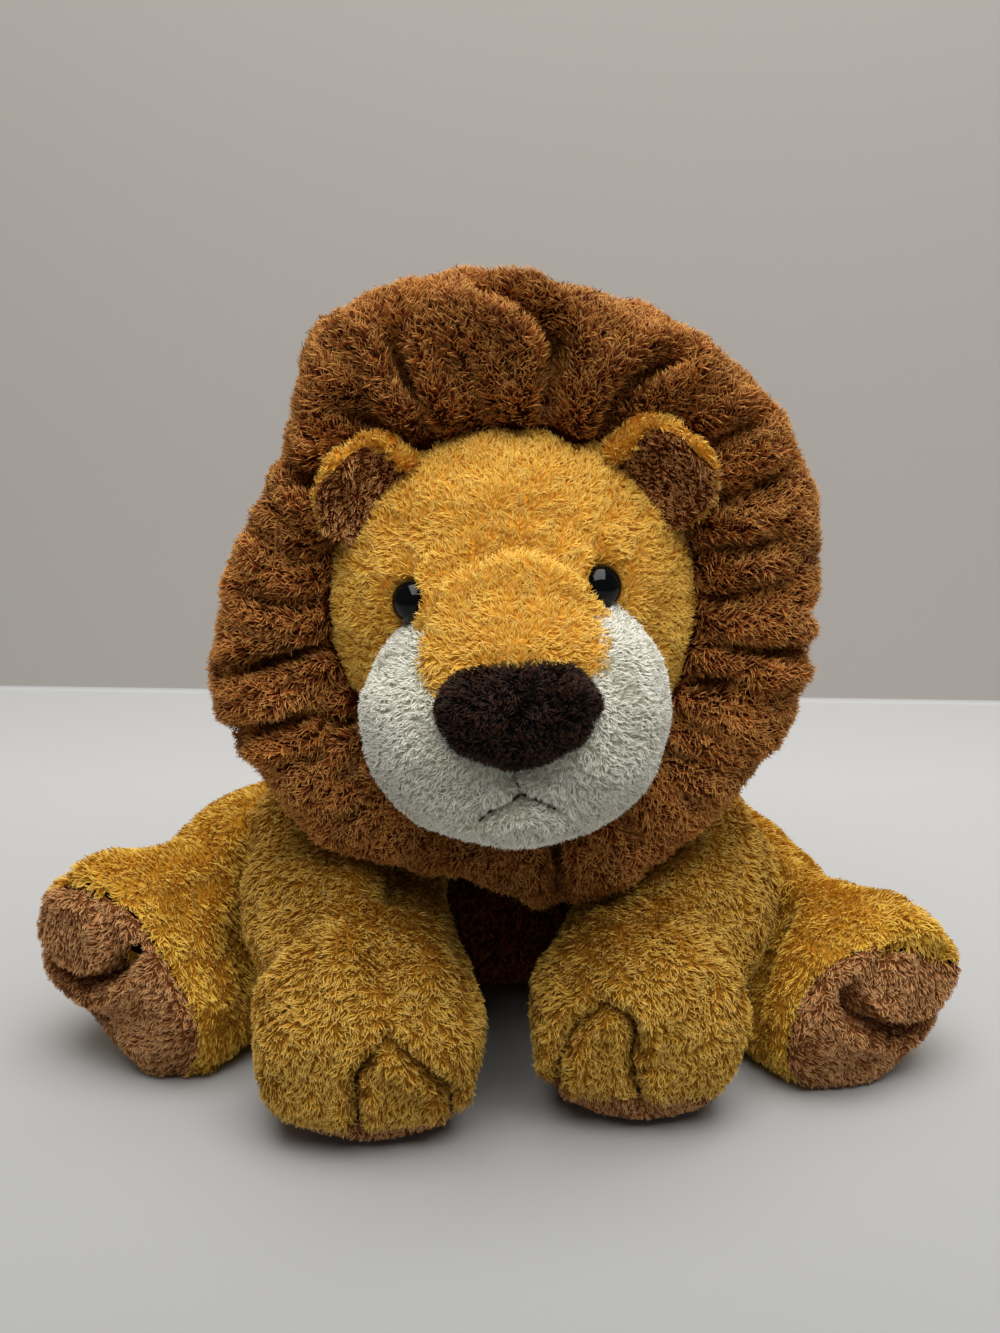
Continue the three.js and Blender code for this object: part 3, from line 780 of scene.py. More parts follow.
# Golden plush dyed darker and redder all over the torso, neck and tail: painted shade, for the deep
# shadow under the head and between the front legs.
BODY_GOLD_PAINTED_SHADE = PileFinish(
    "body rust", "golden_plush", ((64, 18, 5), (110, 38, 12), (160, 74, 18), (206, 138, 54))
)
MANE_RUST = PileFinish(
    "mane rust", "rust_plush", ((50, 14, 3), (108, 43, 9), (178, 93, 26), (250, 190, 102)), sheen=0.4
)
SOLE_BROWN = PileFinish(
    "sole brown", "brown_plush", ((118, 68, 34), (188, 126, 70), (214, 156, 96), (236, 194, 140))
)
EAR_BROWN = PileFinish(
    "ear brown", "brown_plush", ((84, 40, 15), (170, 98, 42), (214, 146, 76), (255, 214, 146))
)
MUZZLE_WHITE = PileFinish(
    "muzzle white", "white_plush", ((196, 194, 172), (232, 230, 212), (246, 244, 232), (255, 254, 246))
)
NOSE_BROWN = PileFinish(
    "nose brown", "nose_plush", ((6, 3, 2), (16, 7, 4), (28, 13, 7), (92, 56, 36))
)
EYE_BLACK = GrainFinish("button black", "eye_black", (5, 5, 6), 0.04, 0.09, 300.0, gloss=0.28)
WASHER_WHITE = GrainFinish("washer plastic", "washer", (228, 228, 222), 0.45, 0.6, 900.0, 0.00005)
THREAD_BROWN = GrainFinish("thread", "thread", (64, 42, 26), 0.7, 0.95, 4000.0, 0.0002)


# Pieces


def linked(name: str, mesh: Mesh, material: Material) -> Object:
    """A new object in the scene.

    Args:
        name: Its name.
        mesh: Its mesh.
        material: What it is made of.

    Returns:
        The object.
    """
    mesh.materials.append(material)
    mesh.shade_smooth()
    made = bpy.data.objects.new(name, mesh)
    bpy.context.scene.collection.objects.link(made)
    return made


def mesh_of(name: str, surface: Surface) -> Mesh:
    """A mesh, in metres, of a skin."""
    mesh = bpy.data.meshes.new(name)
    faces = surface.quads.tolist() + surface.fans.tolist()
    mesh.from_pydata((surface.points * MM).tolist(), [], faces)
    mesh.update()
    return mesh


@dataclass
class Tailor:
    """Makes pieces from skins, and says what they ride on and replace."""

    shaders: Shaders
    strands: int = 0
    bundle: int = 39000
    materials: dict[str, Material] = field(default_factory=dict)

    def material(self, key: str, make: Callable[[Shaders], Material]) -> Material:
        """A material that is made once and then shared."""
        if key not in self.materials:
            self.materials[key] = make(self.shaders)
        return self.materials[key]

    def piece(
        self,
        name: str,
        mesh: Mesh,
        material: Material,
        slot: str,
        body: str,
        nodes: Sequence[str] = (),
    ) -> Object:
        """Adds a piece to the scene.

        Args:
            name: Its name.
            mesh: Its mesh.
            material: What it is made of.
            slot: The record's name for that. Not used.
            body: The body that it rides on.
            nodes: The solids that it replaces.

        Returns:
            The piece.
        """
        made = linked(name, mesh, material)
        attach(made, body)
        if nodes:
            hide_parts(*nodes)
        log.info("piece %s: %d points", name, len(mesh.vertices))
        return made

    def make(
        self,
        name: str,
        surface: Surface,
        finish: PileFinish | GrainFinish,
        body: str,
        nodes: Sequence[str],
        fill: float | None = None,
    ) -> None:
        """Makes a piece from its skin, such as stuffed cloth, a button or a thread.

        Args:
            name: The piece's name.
            surface: Its shape.
            finish: Its finish, whose pile comes as a piece of its own.
            body: The body that it rides on.
            nodes: The solids that it replaces.
            fill: How full it is stuffed, or None where it isn't. Not used.
        """
        material = self.material(finish.name, finish.material)
        made = self.piece(name, mesh_of(name, surface), material, finish.slot, body, nodes)

    def pile(
        self,
        name: str,
        surface: Surface,
        cut: "PileCut",
        flow: Field,
        finish: PileFinish,
        body: str,
        parting: Array | None = None,
    ) -> None:
        """Grows pile from a skin, as one piece or as several where there is much of it.

        Args:
            name: The piece's name.
            surface: The skin, or the part of it that carries this pile.
            cut: How the pile is cut and brushed.
            flow: Gives the direction that the pile is brushed in at points.
            finish: Its dye, with painted shade and highlight.
            body: The body that it rides on.
            parting: Points that the pile is parted at, such as those of a stitched line.
        """
        bundles = cut.grow(surface, flow, parting).bundles(self.bundle)
        material = self.material(finish.name + " pile", finish.pile)
        for number, strands in enumerate(bundles, 1):
            label = name if len(bundles) == 1 else f"{name}_{number}"
            self.piece(label, strands.mesh(label), material, finish.slot, body)
            self.strands += len(strands.shades)


@dataclass
class Strands:
    """Grown strands: four points along each one, half widths across it and a shade."""

    lines: Array
    halves: Array
    shades: Array

    def bundles(self, limit: int) -> list["Strands"]:
        """The strands in bundles side by side, each within a limit."""
        count = math.ceil(len(self.shades) / limit)
        chosen = np.array_split(np.argsort(self.lines[:, 0, 0], kind="stable"), count)
        return [Strands(self.lines[k], self.halves[k], self.shades[k]) for k in chosen]

    def mesh(self, name: str) -> Mesh:
        """The strands as narrow tapered ribbons, with their shade and height as the map."""
        count = len(self.shades)
        corners = np.empty((count, 7, 3))
        for level in range(3):
            corners[:, 2 * level] = self.lines[:, level] - self.halves[:, level]
            corners[:, 2 * level + 1] = self.lines[:, level] + self.halves[:, level]
        corners[:, 6] = self.lines[:, 3]
        corners[..., 2] = np.maximum(corners[..., 2], EDGE_FLOOR)
        order = np.array([0, 1, 3, 2, 2, 3, 5, 4, 4, 5, 6])
        heights = np.array([0.0, 0.0, 0.36, 0.36, 0.72, 0.72, 1.0])
        edges = np.array([-1.0, 1.0, -1.0, 1.0, -1.0, 1.0, 0.0]) * 0.004
        loops = (np.arange(count)[:, None] * 7 + order).ravel()
        starts = (np.arange(count)[:, None] * 11 + np.array([0, 4, 8])).ravel()
        mesh = bpy.data.meshes.new(name)
        for rows, number, key, values in (
            (mesh.vertices, 7, "co", (corners * MM).astype(np.float32).ravel()),
            (mesh.loops, 11, "vertex_index", loops.astype(np.int32)),
            (mesh.polygons, 3, "loop_start", starts.astype(np.int32)),
        ):
            rows.add(count * number)
            rows.foreach_set(key, values)
        layer = mesh.uv_layers.new(name=PILE_MAP)
        across = self.shades[:, None] + edges[order]
        spots = np.stack([across, np.broadcast_to(heights[order], across.shape)], -1)
        layer.data.foreach_set("uv", spots.astype(np.float32).ravel())
        mesh.update(calc_edges=True)
        mesh.validate()
        return mesh


def nearest_gap(points: Array, marks: Array | None) -> Array:
    """How far each point is from the nearest mark.

    Args:
        points: The points.
        marks: The marks, or None where there are none.

    Returns:
        One distance for each point, at most 50.
    """
    gap = np.full(len(points), 50.0)
    if marks is not None and len(marks):
        for few in np.array_split(marks, math.ceil(len(marks) / 40)):
            gap = np.minimum(gap, np.linalg.norm(points[:, None] - few[None], axis=2).min(1))
    return gap


def brushed(*direction: float) -> Field:
    """A stroke of the brush in one direction everywhere."""
    return lambda points: np.tile(np.array(direction), (len(points), 1))


def away_from(centre: Array, depth: float = 1.0) -> Field:
    """Strokes of the brush that lead away from a point, with a share of their part along Y."""
    return lambda points: (points - centre) * np.array([1.0, depth, 1.0])


@dataclass(frozen=True)
class PileCut:
    """How a pile is cut and brushed."""

    seed: int
    length: float
    width: float = 0.42
    per_mm2: float = 1.6
    lean: float = 48.0
    swirl: float = 42.0
    curl: float = 1.2
    clump: float = 0.55
    clump_size: float = 2.1
    shade_size: float = 16.0
    shading: float = 0.22
    part: float = 0.6
    thinned: float = 2.4
    depth: float = 0.35
    swirl_sizes: tuple[float, float] = (13.0, 4.5)
    swirl_spread: float = 14.0
    lean_spread: float = 9.0
    shade_spread: float = 0.2

    def grow(self, surface: Surface, flow: Field, parting: Array | None = None) -> Strands:
        """Grows strands from a skin.

        Args:
            surface: The skin, or part of it.
            flow: Gives the direction that the pile is brushed in at points.
            parting: Points that the pile is parted at.

        Returns:
            The strands.
        """
        rng = np.random.default_rng(self.seed)
        roots, normals = self.roots(surface, rng)
        gap = nearest_gap(roots, parting)
        kept = gap > self.part
        roots, normals, gap = roots[kept], normals[kept], gap[kept]
        heading = self.headings(roots, normals, flow(roots), rng)
        lines = self.clumped(self.bent(roots, normals, heading, gap, rng), rng)
        lines[..., 2] = np.maximum(lines[..., 2], STRAND_FLOOR)
        shades = 0.5 + self.shading * Ripple(self.seed + 3, self.shade_size).at(roots)
        shades = np.clip(shades + rng.normal(0, self.shade_spread, len(roots)), 0.02, 0.98)
        return Strands(lines, self.halves(lines, normals, rng), shades)

    def headings(
        self, roots: Array, normals: Array, stroke: Array, rng: np.random.Generator
    ) -> Array:
        """The ways that the strands lean over the skin.

        Args:
            roots: Where they start.
            normals: The directions out of the skin there.
            stroke: The directions of the brush there.
            rng: Source of the draws.

        Returns:
            One direction for each strand, swirled a little away from the brush.
        """
        stroke = unit(stroke - normals * (stroke * normals).sum(1, keepdims=True))
        side = np.cross(normals, stroke)
        broad, fine = self.swirl_sizes
        swirl = Ripple(self.seed + 1, broad).at(roots) * self.swirl
        swirl += Ripple(self.seed + 2, fine).at(roots) * self.swirl * 0.9
        swirl = np.radians(swirl + rng.normal(0, self.swirl_spread, len(roots)))[:, None]
        return stroke * np.cos(swirl) + side * np.sin(swirl)

    def bent(
        self,
        roots: Array,
        normals: Array,
        heading: Array,
        gap: Array,
        rng: np.random.Generator,
    ) -> Array:
        """Curls each strand over three steps, the second and third of which bend to a side.

        Args:
            roots: Where the strands start.
            normals: The directions out of the skin there.
            heading: The ways that they lean.
            gap: How far they are from a parting, near which they are shorter.
            rng: Source of the draws.

        Returns:
            Four points along each strand.
        """
        count = len(roots)
        side = np.cross(normals, heading)
        lean = np.radians(self.lean + rng.normal(0, self.lean_spread, count))[:, None]
        step = self.length * rng.uniform(0.8, 1.15, (count, 1)) / 3
        step *= 0.45 + 0.55 * ease(gap, self.part, self.part + self.thinned)[:, None]
        bend = rng.choice([-1.0, 1.0], (count, 1)) * rng.uniform(0.4, 1.0, (count, 1)) * self.curl
        double = np.where(rng.random((count, 1)) < 0.35, -1.0, 0.9)
        first = unit(normals * np.cos(lean) + heading * np.sin(lean))
        second = unit(first + side * bend + normals * rng.normal(0.05, 0.25, (count, 1)))
        third = unit(second + side * bend * double - normals * rng.uniform(0.0, 0.5, (count, 1)))
        lines = [roots - normals * self.depth]
        for way, share in ((first, 0.9), (second, 1.0), (third, 1.1)):
            lines.append(lines[-1] + way * step * share)
        return np.stack(lines, 1)

    def roots(self, surface: Surface, rng: np.random.Generator) -> tuple[Array, Array]:
        """Where the strands start.

        Args:
            surface: The skin.
            rng: Source of the draws.

        Returns:
            Even points over the skin, and the directions out of it there.
        """
        triangles = surface.triangles()
        corners = surface.points[triangles]
        faces = np.cross(corners[:, 1] - corners[:, 0], corners[:, 2] - corners[:, 0])
        reached = np.cumsum(np.linalg.norm(faces, axis=1) / 2)
        count = int(reached[-1] * self.per_mm2)
        picks = (np.arange(count) + rng.random(count)) / count * reached[-1]
        chosen = np.minimum(np.searchsorted(reached, picks), len(triangles) - 1)
        a, b = np.sqrt(rng.random((count, 1))), rng.random((count, 1))
        shares = np.stack([1 - a, a * (1 - b), a * b], 1)
        normals = surface.normals()[triangles[chosen]]
        return (corners[chosen] * shares).sum(1), unit((normals * shares).sum(1))

    def clumped(self, lines: Array, rng: np.random.Generator) -> Array:
        """Draws the strands of each small lock together towards their tips.

        Args:
            lines: Points along the strands.
            rng: Source of the draws.

        Returns:
            The drawn points.
        """
        cells = np.floor((lines[:, 0] + rng.uniform(0, 9, 3)) / self.clump_size).astype(np.int64)
        keys = (cells * np.array([73856093, 19349663, 83492791])).sum(1)
        _, lock = np.unique(keys, return_inverse=True)
        sizes = np.bincount(lock)[:, None]
        for level, pull in ((1, 0.25), (2, 0.7), (3, 1.0)):
            middle = np.stack([np.bincount(lock, lines[:, level, k]) for k in range(3)], 1) / sizes
            lines[:, level] += (middle[lock] - lines[:, level]) * pull * self.clump
        return lines

    def halves(self, lines: Array, normals: Array, rng: np.random.Generator) -> Array:
        """Half widths across the strands.

        Args:
            lines: Points along the strands.
            normals: The directions out of the skin at their roots.
            rng: Source of the draws.

        Returns:
            Half widths at the three points under the tip.
        """
        runs = unit(np.diff(lines, axis=1))
        levels = unit(np.stack([runs[:, 0], runs[:, 0] + runs[:, 1], runs[:, 1] + runs[:, 2]], 1))
        across = unit(np.cross(levels, normals[:, None] + 1e-4))
        roll = rng.normal(0, 0.5, (len(lines), 1, 1))
        across = across * np.cos(roll) + np.cross(levels, across) * np.sin(roll)
        taper = np.array([0.8, 1.0, 0.75])[:, None]
        wide = self.width * rng.uniform(0.75, 1.2, (len(lines), 1, 1)) / 2
        return across * taper * wide


def threads(lines: Sequence[Array], radius: float) -> Surface:
    """Round threads along lines, as one piece.

    Args:
        lines: Points along each thread.
        radius: The thread's radius.

    Returns:
        The threads.
    """
    points, quads, fans, base = [], [], [], 0
    for line in lines:
        half = np.full(len(line), radius)
        half[[0, -1]] = 0.0
        made = sewn(tube(np.column_stack([line, half, half]), None, 4 * len(line), 8)[0])
        points.append(made.points)
        quads.append(made.quads + base)
        fans.append(made.fans + base)
        base += len(made.points)
    return Surface(np.vstack(points), np.vstack(quads), np.vstack(fans))


def stitches(line: Array, length: float, gap: float) -> list[Array]:
    """Cuts a traced line into separate stitches.

    Args:
        line: Points along the seam.
        length: Length of a stitch.
        gap: Length of the gap after it.

    Returns:
        The points of each stitch.
    """
    steps = np.r_[0.0, np.cumsum(np.linalg.norm(np.diff(line, axis=0), axis=1))]
    cuts, start = [], 0.0
    while start + length * 0.6 < steps[-1]:
        spots = np.linspace(start, min(start + length, steps[-1]), 5)
        cuts.append(np.column_stack([np.interp(spots, steps, line[:, k]) for k in range(3)]))
        start += length + gap
    return cuts


# Torso, neck and tail


@dataclass
class Torso:
    """The stuffed torso, which stands flat on its seat."""

    height: float = 124.0
    width: float = 128.0
    depth: float = 116.0
    # Each ring's rise, set back, width and depth, as shares of the torso's.
    shares: Rows = (
        (-0.02, 0, 0, 0),
        (0, 0, 0.66, 0.66),
        (0.09, 0, 0.92, 0.92),
        (0.25, -0.01, 1, 1),
        (0.44, -0.045, 0.94, 0.9),
        (0.64, -0.085, 0.84, 0.73),
        (0.8, -0.1, 0.73, 0.56),
        (0.92, -0.11, 0.54, 0.38),
        (0.985, -0.12, 0.28, 0.2),
        (1, -0.12, 0, 0),
    )
    back_seam_top: float = 104.0
    back_crease: Crease = (1.8, 2.2, 0.5)
    back_seam_hold: float = 2.0
    seat_hold: float = 4.0
    shoulder_hold: float = 0.8
    seat_pile: float = 1.6
    pile_change: float = -10.0
    front_cut: PileCut = PileCut(seed=11, length=3.8, width=0.4, per_mm2=1.5)
    back_cut: PileCut = PileCut(seed=12, length=3.8, width=0.4, per_mm2=1.8)
    surface: Surface = field(init=False)
    spine: Array = field(init=False)

    def __post_init__(self) -> None:
        """Shapes the skin."""
        stations = [
            (0.0, back * self.depth, rise * self.height, wide * self.width / 2, deep * self.depth / 2)
            for rise, back, wide, deep in self.shares
        ]
        points, self.spine = tube(stations, X_AXIS, 96, 96)
        x, y, z = np.moveaxis(points, -1, 0)
        held = (np.abs(x) < self.back_seam_hold) & (y > 0)
        held |= (z < self.seat_hold) | (z > self.shoulder_hold * self.height)
        self.surface = sewn(Stuffing().fill(points, held))
        self.surface.ripple(0.9, 101, 34.0, -1.0)
        self.surface.settle(1.0, 2.0)

    def holds(self, points: Array, margin: float) -> Array:
        """Which points are inside the torso, or nearer to it than a margin."""
        middle, wide, deep = (
            np.interp(points[:, 2], self.spine[:, 2], self.spine[:, k]) for k in (1, 3, 4)
        )
        across = points[:, 0] / np.maximum(wide + margin, 1)
        along = (points[:, 1] - middle) / np.maximum(deep + margin, 1)
        return (across**2 + along**2 < 1) & (points[:, 2] < self.height + margin)

    def build(self, tailor: Tailor) -> None:
        """Sews the torso and its back seam, and grows its pile."""
        heights = (22, 50, 80, self.back_seam_top)
        seam = self.surface.trace([(0, CAST, height) for height in heights], -Y_AXIS)
        self.surface.crease(seam, *self.back_crease)
        solids = ("body_cover", "body_filling", "pellet_pouch")
        tailor.make("torso_skin", self.surface, BODY_GOLD_PAINTED_SHADE, "torso", solids, 0.75)
        rear = self.surface.points[:, 1] > self.pile_change
        raised = self.surface.points[:, 2] > self.seat_pile
        down = brushed(0.0, 0.0, -1.0)
        for name, mark, cut in (("front", ~rear, self.front_cut), ("back", rear, self.back_cut)):
            shown = self.surface.part(mark & raised)
            tailor.pile(f"torso_pile_{name}", shown, cut, down, BODY_GOLD_PAINTED_SHADE, "torso")


@dataclass
class Neck:
    """The stuffed neck, a ball that the head nods and tilts on."""

    middle: Triple = (0.0, -36.0, 120.0)
    radius: float = 24.5
    cut: PileCut = PileCut(seed=21, length=3.6, width=0.45, per_mm2=1.2)

    def build(self, tailor: Tailor) -> None:
        """Sews the neck and grows its pile."""
        surface = modelled([Lump(self.middle, (self.radius,) * 3)], self.middle, 0.5, 36, 48)
        surface.ripple(0.5, 102, 20.0)
        tailor.make("neck_skin", surface, BODY_GOLD_PAINTED_SHADE, "neck", ("neck",), 0.8)
        shown = surface.points[:, 1] > self.middle[1] - 8
        down = brushed(0.0, 0.0, -1.0)
        tailor.pile("neck_pile", surface.part(shown), self.cut, down, BODY_GOLD_PAINTED_SHADE, "neck")


@dataclass
class Tail:
    """The slim tail that curls round on the floor, and its tuft."""

    pivot: Triple = (0.0, 54.0, 14.0)
    radius: float = 6.2
    length: float = 78.0
    turn: float = 95.0
    tuft_length: float = 36.0
    tuft_radius: float = 9.5
    # How far along the tuft each ring is, and its thickness.
    tuft_shares: Rows = ((0, 0), (0.12, 0.72), (0.35, 1), (0.65, 0.86), (0.88, 0.46), (1, 0))
    tail_cut: PileCut = PileCut(seed=31, length=3.4, width=0.38, per_mm2=2.4)
    tuft_cut: PileCut = PileCut(
        seed=32, length=7.0, width=0.4, per_mm2=3.4, lean=58, swirl=24, clump=0.6, clump_size=3.0
    )

    def spot(self, run: Array) -> Array:
        """Points along the tail, by the length run."""
        bend = math.radians(self.turn) / self.length
        x, y, z = self.pivot
        drop = np.minimum(1, 2 * run / self.length)
        across, along = (1 - np.cos(bend * run)) / bend, np.sin(bend * run) / bend
        return np.column_stack([x + across, y + along, z + (self.radius + 0.8 - z) * drop])

    def along(self, points: Array) -> Array:
        """The direction in which the tail runs at points."""
        centre = self.pivot[0] + self.length / math.radians(self.turn)
        return np.column_stack(
            [points[:, 1] - self.pivot[1], centre - points[:, 0], np.zeros(len(points))]
        )

    def build(self, tailor: Tailor) -> None:
        """Sews the tail and its tuft and grows their pile."""
        runs = np.linspace(-7, self.length, 9)
        half = np.full(len(runs), self.radius)
        half[[0, -1]] = 0
        rows = np.column_stack([self.spot(runs), half, half])
        surface = sewn(tube(rows, None, 72, 30)[0])
        surface.ripple(0.35, 103, 12.0)
        surface.settle(0.8, 1.5)
        tailor.make("tail_skin", surface, BODY_GOLD_PAINTED_SHADE, "tail", ("tail",), 0.8)
        tailor.pile("tail_pile", surface, self.tail_cut, self.along, BODY_GOLD_PAINTED_SHADE, "tail")
        start = self.spot(np.array([self.length * 6 / 7]))[0]
        heading = unit((self.spot(np.array([self.length]))[0] - start) * np.array([1, 1, 0]))
        sizes = np.array(self.tuft_shares)
        middles = start + heading * sizes[:, :1] * self.tuft_length
        middles[:, 2] = self.tuft_radius + 1.2
        half = sizes[:, 1:] * self.tuft_radius
        tuft = sewn(tube(np.hstack([middles, half, half]), None, 40, 30)[0])
        tuft.ripple(0.6, 104, 12.0)
        tuft.settle(0.8, 1.5)
        tailor.make("tail_tuft_skin", tuft, MANE_RUST, "tail", ("tail_tuft",), 0.7)
        away = away_from(start - heading * 12)
        tailor.pile("tail_tuft_pile", tuft, self.tuft_cut, away, MANE_RUST, "tail")


# Legs


LEG_FILL = 0.8
TOE_STITCH = 3.4
TOE_STITCH_GAP = 1.1
TOE_THREAD = 0.35


@dataclass
class Leg:
    """What all four legs share: a side, a skin, and how that is sewn, soled and stitched."""

    side: Side
    surface: Surface = field(init=False)

    def sew(
        self,
        tailor: Tailor,
        kind: str,
        finish: PileFinish,
        sole: Array,
        toes: Sequence[Array],
    ) -> None:
        """Sews the leg's skin, its sole and its toe threads.

        Args:
            tailor: Makes the pieces.
            kind: Which pair it belongs to, front or hind.
            finish: Its pile.
            sole: Marks of the points that the sole covers.
            toes: Points along each stitched toe line.
        """
        name = self.side.value
        body, foot = f"{kind}_leg_{name}", f"{kind}_sole_{name}"
        solids = (body, f"{kind}_filling_{name}")
        tailor.make(f"{body}_skin", self.surface.part(~sole), finish, body, solids, LEG_FILL)
        tailor.make(f"{foot}_skin", self.surface.part(sole), SOLE_BROWN, body, (foot,), LEG_FILL)
        cuts = [cut for toe in toes for cut in stitches(toe, TOE_STITCH, TOE_STITCH_GAP)]
        sewing, solids = threads(cuts, TOE_THREAD), (f"{kind}_toe_stitch_{name}",)
        tailor.make(f"{kind}_toe_thread_{name}", sewing, THREAD_BROWN, body, solids)


@dataclass
class FrontLeg(Leg):
    """A front leg that stands on its paw."""

    run: float
    toes: Sequence[Rows]
    folds: Sequence[Rows]
    middle: float
    paw_spread: float
    paw_width: float
    sole: float
    spread: float = 43.0
    setback: float = -46.0
    rise: float = 58.0
    leg: float = 55.0
    flatness: float = 0.86
    paw_height: float = 54.0
    start: float = 6.0
    shoulder: float = 23.0
    # Each ring's run, rise and thickness, as shares of the leg's or, further on, the paw's.
    stations: Rows = (
        (0.0, 0.98, 0.96, 0.0),
        (0.14, 0.86, 1.0, 0.0),
        (0.28, 0.72, 1.0, 0.0),
        (0.45, 0.57, 1.0, 0.0),
        (0.6, 0.5, 0.0, 0.92),
        (0.75, 0.46, 0.0, 1.0),
        (0.88, 0.43, 0.0, 0.95),
        (0.965, 0.41, 0.0, 0.72),
        (1.0, 0.4, 0.0, 0.0),
    )
    fold_crease: Crease = (6.5, 5.2, 1.5)
    toe_crease: Crease = (4.3, 1.9, 2.4)
    spread_runs: Sequence[float] = (0.0, 0.14, 0.28, 0.62)
    underside: float = 0.76
    sole_pile_run: float = 0.4
    ahead: float = 300.0
    line: Array = field(init=False)

    def __post_init__(self) -> None:
        """Shapes the skin."""
        sign = self.side.sign
        root, behind, half = sign * self.spread, self.setback + self.shoulder, self.shoulder
        rows = [(root, behind, self.rise, 0.0, 0.0)]
        rows.append((root, behind - 5.0, self.rise, 0.55 * half, 0.6 * half))
        spreads = (self.spread, self.middle, self.middle, self.paw_spread)
        for run, rise, leg, paw in self.stations:
            x = sign * np.interp(run, self.spread_runs, spreads)
            y = self.setback - run * self.run - self.start
            wide = (leg * self.leg + paw * self.paw_width) / 2
            high = (leg * self.leg * self.flatness + paw * self.paw_height) / 2
            rows.append((x, y, rise * self.rise, wide, high))
        points, self.line = tube(rows, X_AXIS, 110, 96, self.underside)
        base = sewn(points)
        lines = np.vstack([base.under(line, self.ahead) for line in (*self.toes, *self.folds)])
        held = nearest_gap(points.reshape(-1, 3), lines).reshape(points.shape[:2]) < SEAM_HOLD
        held |= (points[..., 2] < FLOOR_HOLD) | (points[..., 1] > self.setback + 4)
        self.surface = sewn(Stuffing().fill(points, held))
        self.surface.ripple(0.7, 110 + int(sign), 24.0, -0.6)
        for fold in self.folds:
            self.surface.crease(self.surface.under(fold, self.ahead), *self.fold_crease)
        for toe in self.toes:
            self.surface.crease(self.surface.under(toe, self.ahead), *self.toe_crease)
        self.surface.settle(0.9, 2.0)

    def holds(self, points: Array, margin: float) -> Array:
        """Which points are inside the leg, or nearer to it than a margin."""
        line = self.line[np.argsort(-self.line[:, 1])]
        x, z, wide, high = (np.interp(-points[:, 1], -line[:, 1], line[:, k]) for k in (0, 2, 3, 4))
        across = (points[:, 0] - x) / np.maximum(wide + margin, 1)
        up = (points[:, 2] - z) / np.maximum(high + margin, 1)
        section = across**2 + np.where(up > 0, up**2, up**4)
        return (section < 1) & (points[:, 1] > line[-1, 1] - margin) & (points[:, 1] < line[0, 1])

    def build(self, tailor: Tailor) -> None:
        """Sews the leg, its sole and toe threads, and grows its pile."""
        name, sign = self.side.value, int(self.side.sign)
        body, points = f"front_leg_{name}", self.surface.points
        sole = points[:, 2] < self.sole
        toes = [self.surface.under(toe, self.ahead) for toe in self.toes]
        self.sew(tailor, "front", LEG_GOLD_PAINTED_SHADE, sole, toes)
        flow, parting = brushed(sign * 0.25, -0.55, -1.0), np.vstack(toes)
        cut = PileCut(seed=120 + sign, length=3.9, width=0.34, per_mm2=2.7, part=0.35)
        shown = self.surface.part(~sole)
        tailor.pile(f"{body}_pile", shown, cut, flow, LEG_GOLD_PAINTED_SHADE, body, parting)
        short = PileCut(seed=124 + sign, length=2.4, width=0.34, per_mm2=2.6)
        shown = self.surface.part(sole & (points[:, 1] < self.setback - self.sole_pile_run * self.run))
        tailor.pile(f"front_sole_{name}_pile", shown, short, flow, SOLE_BROWN, body)


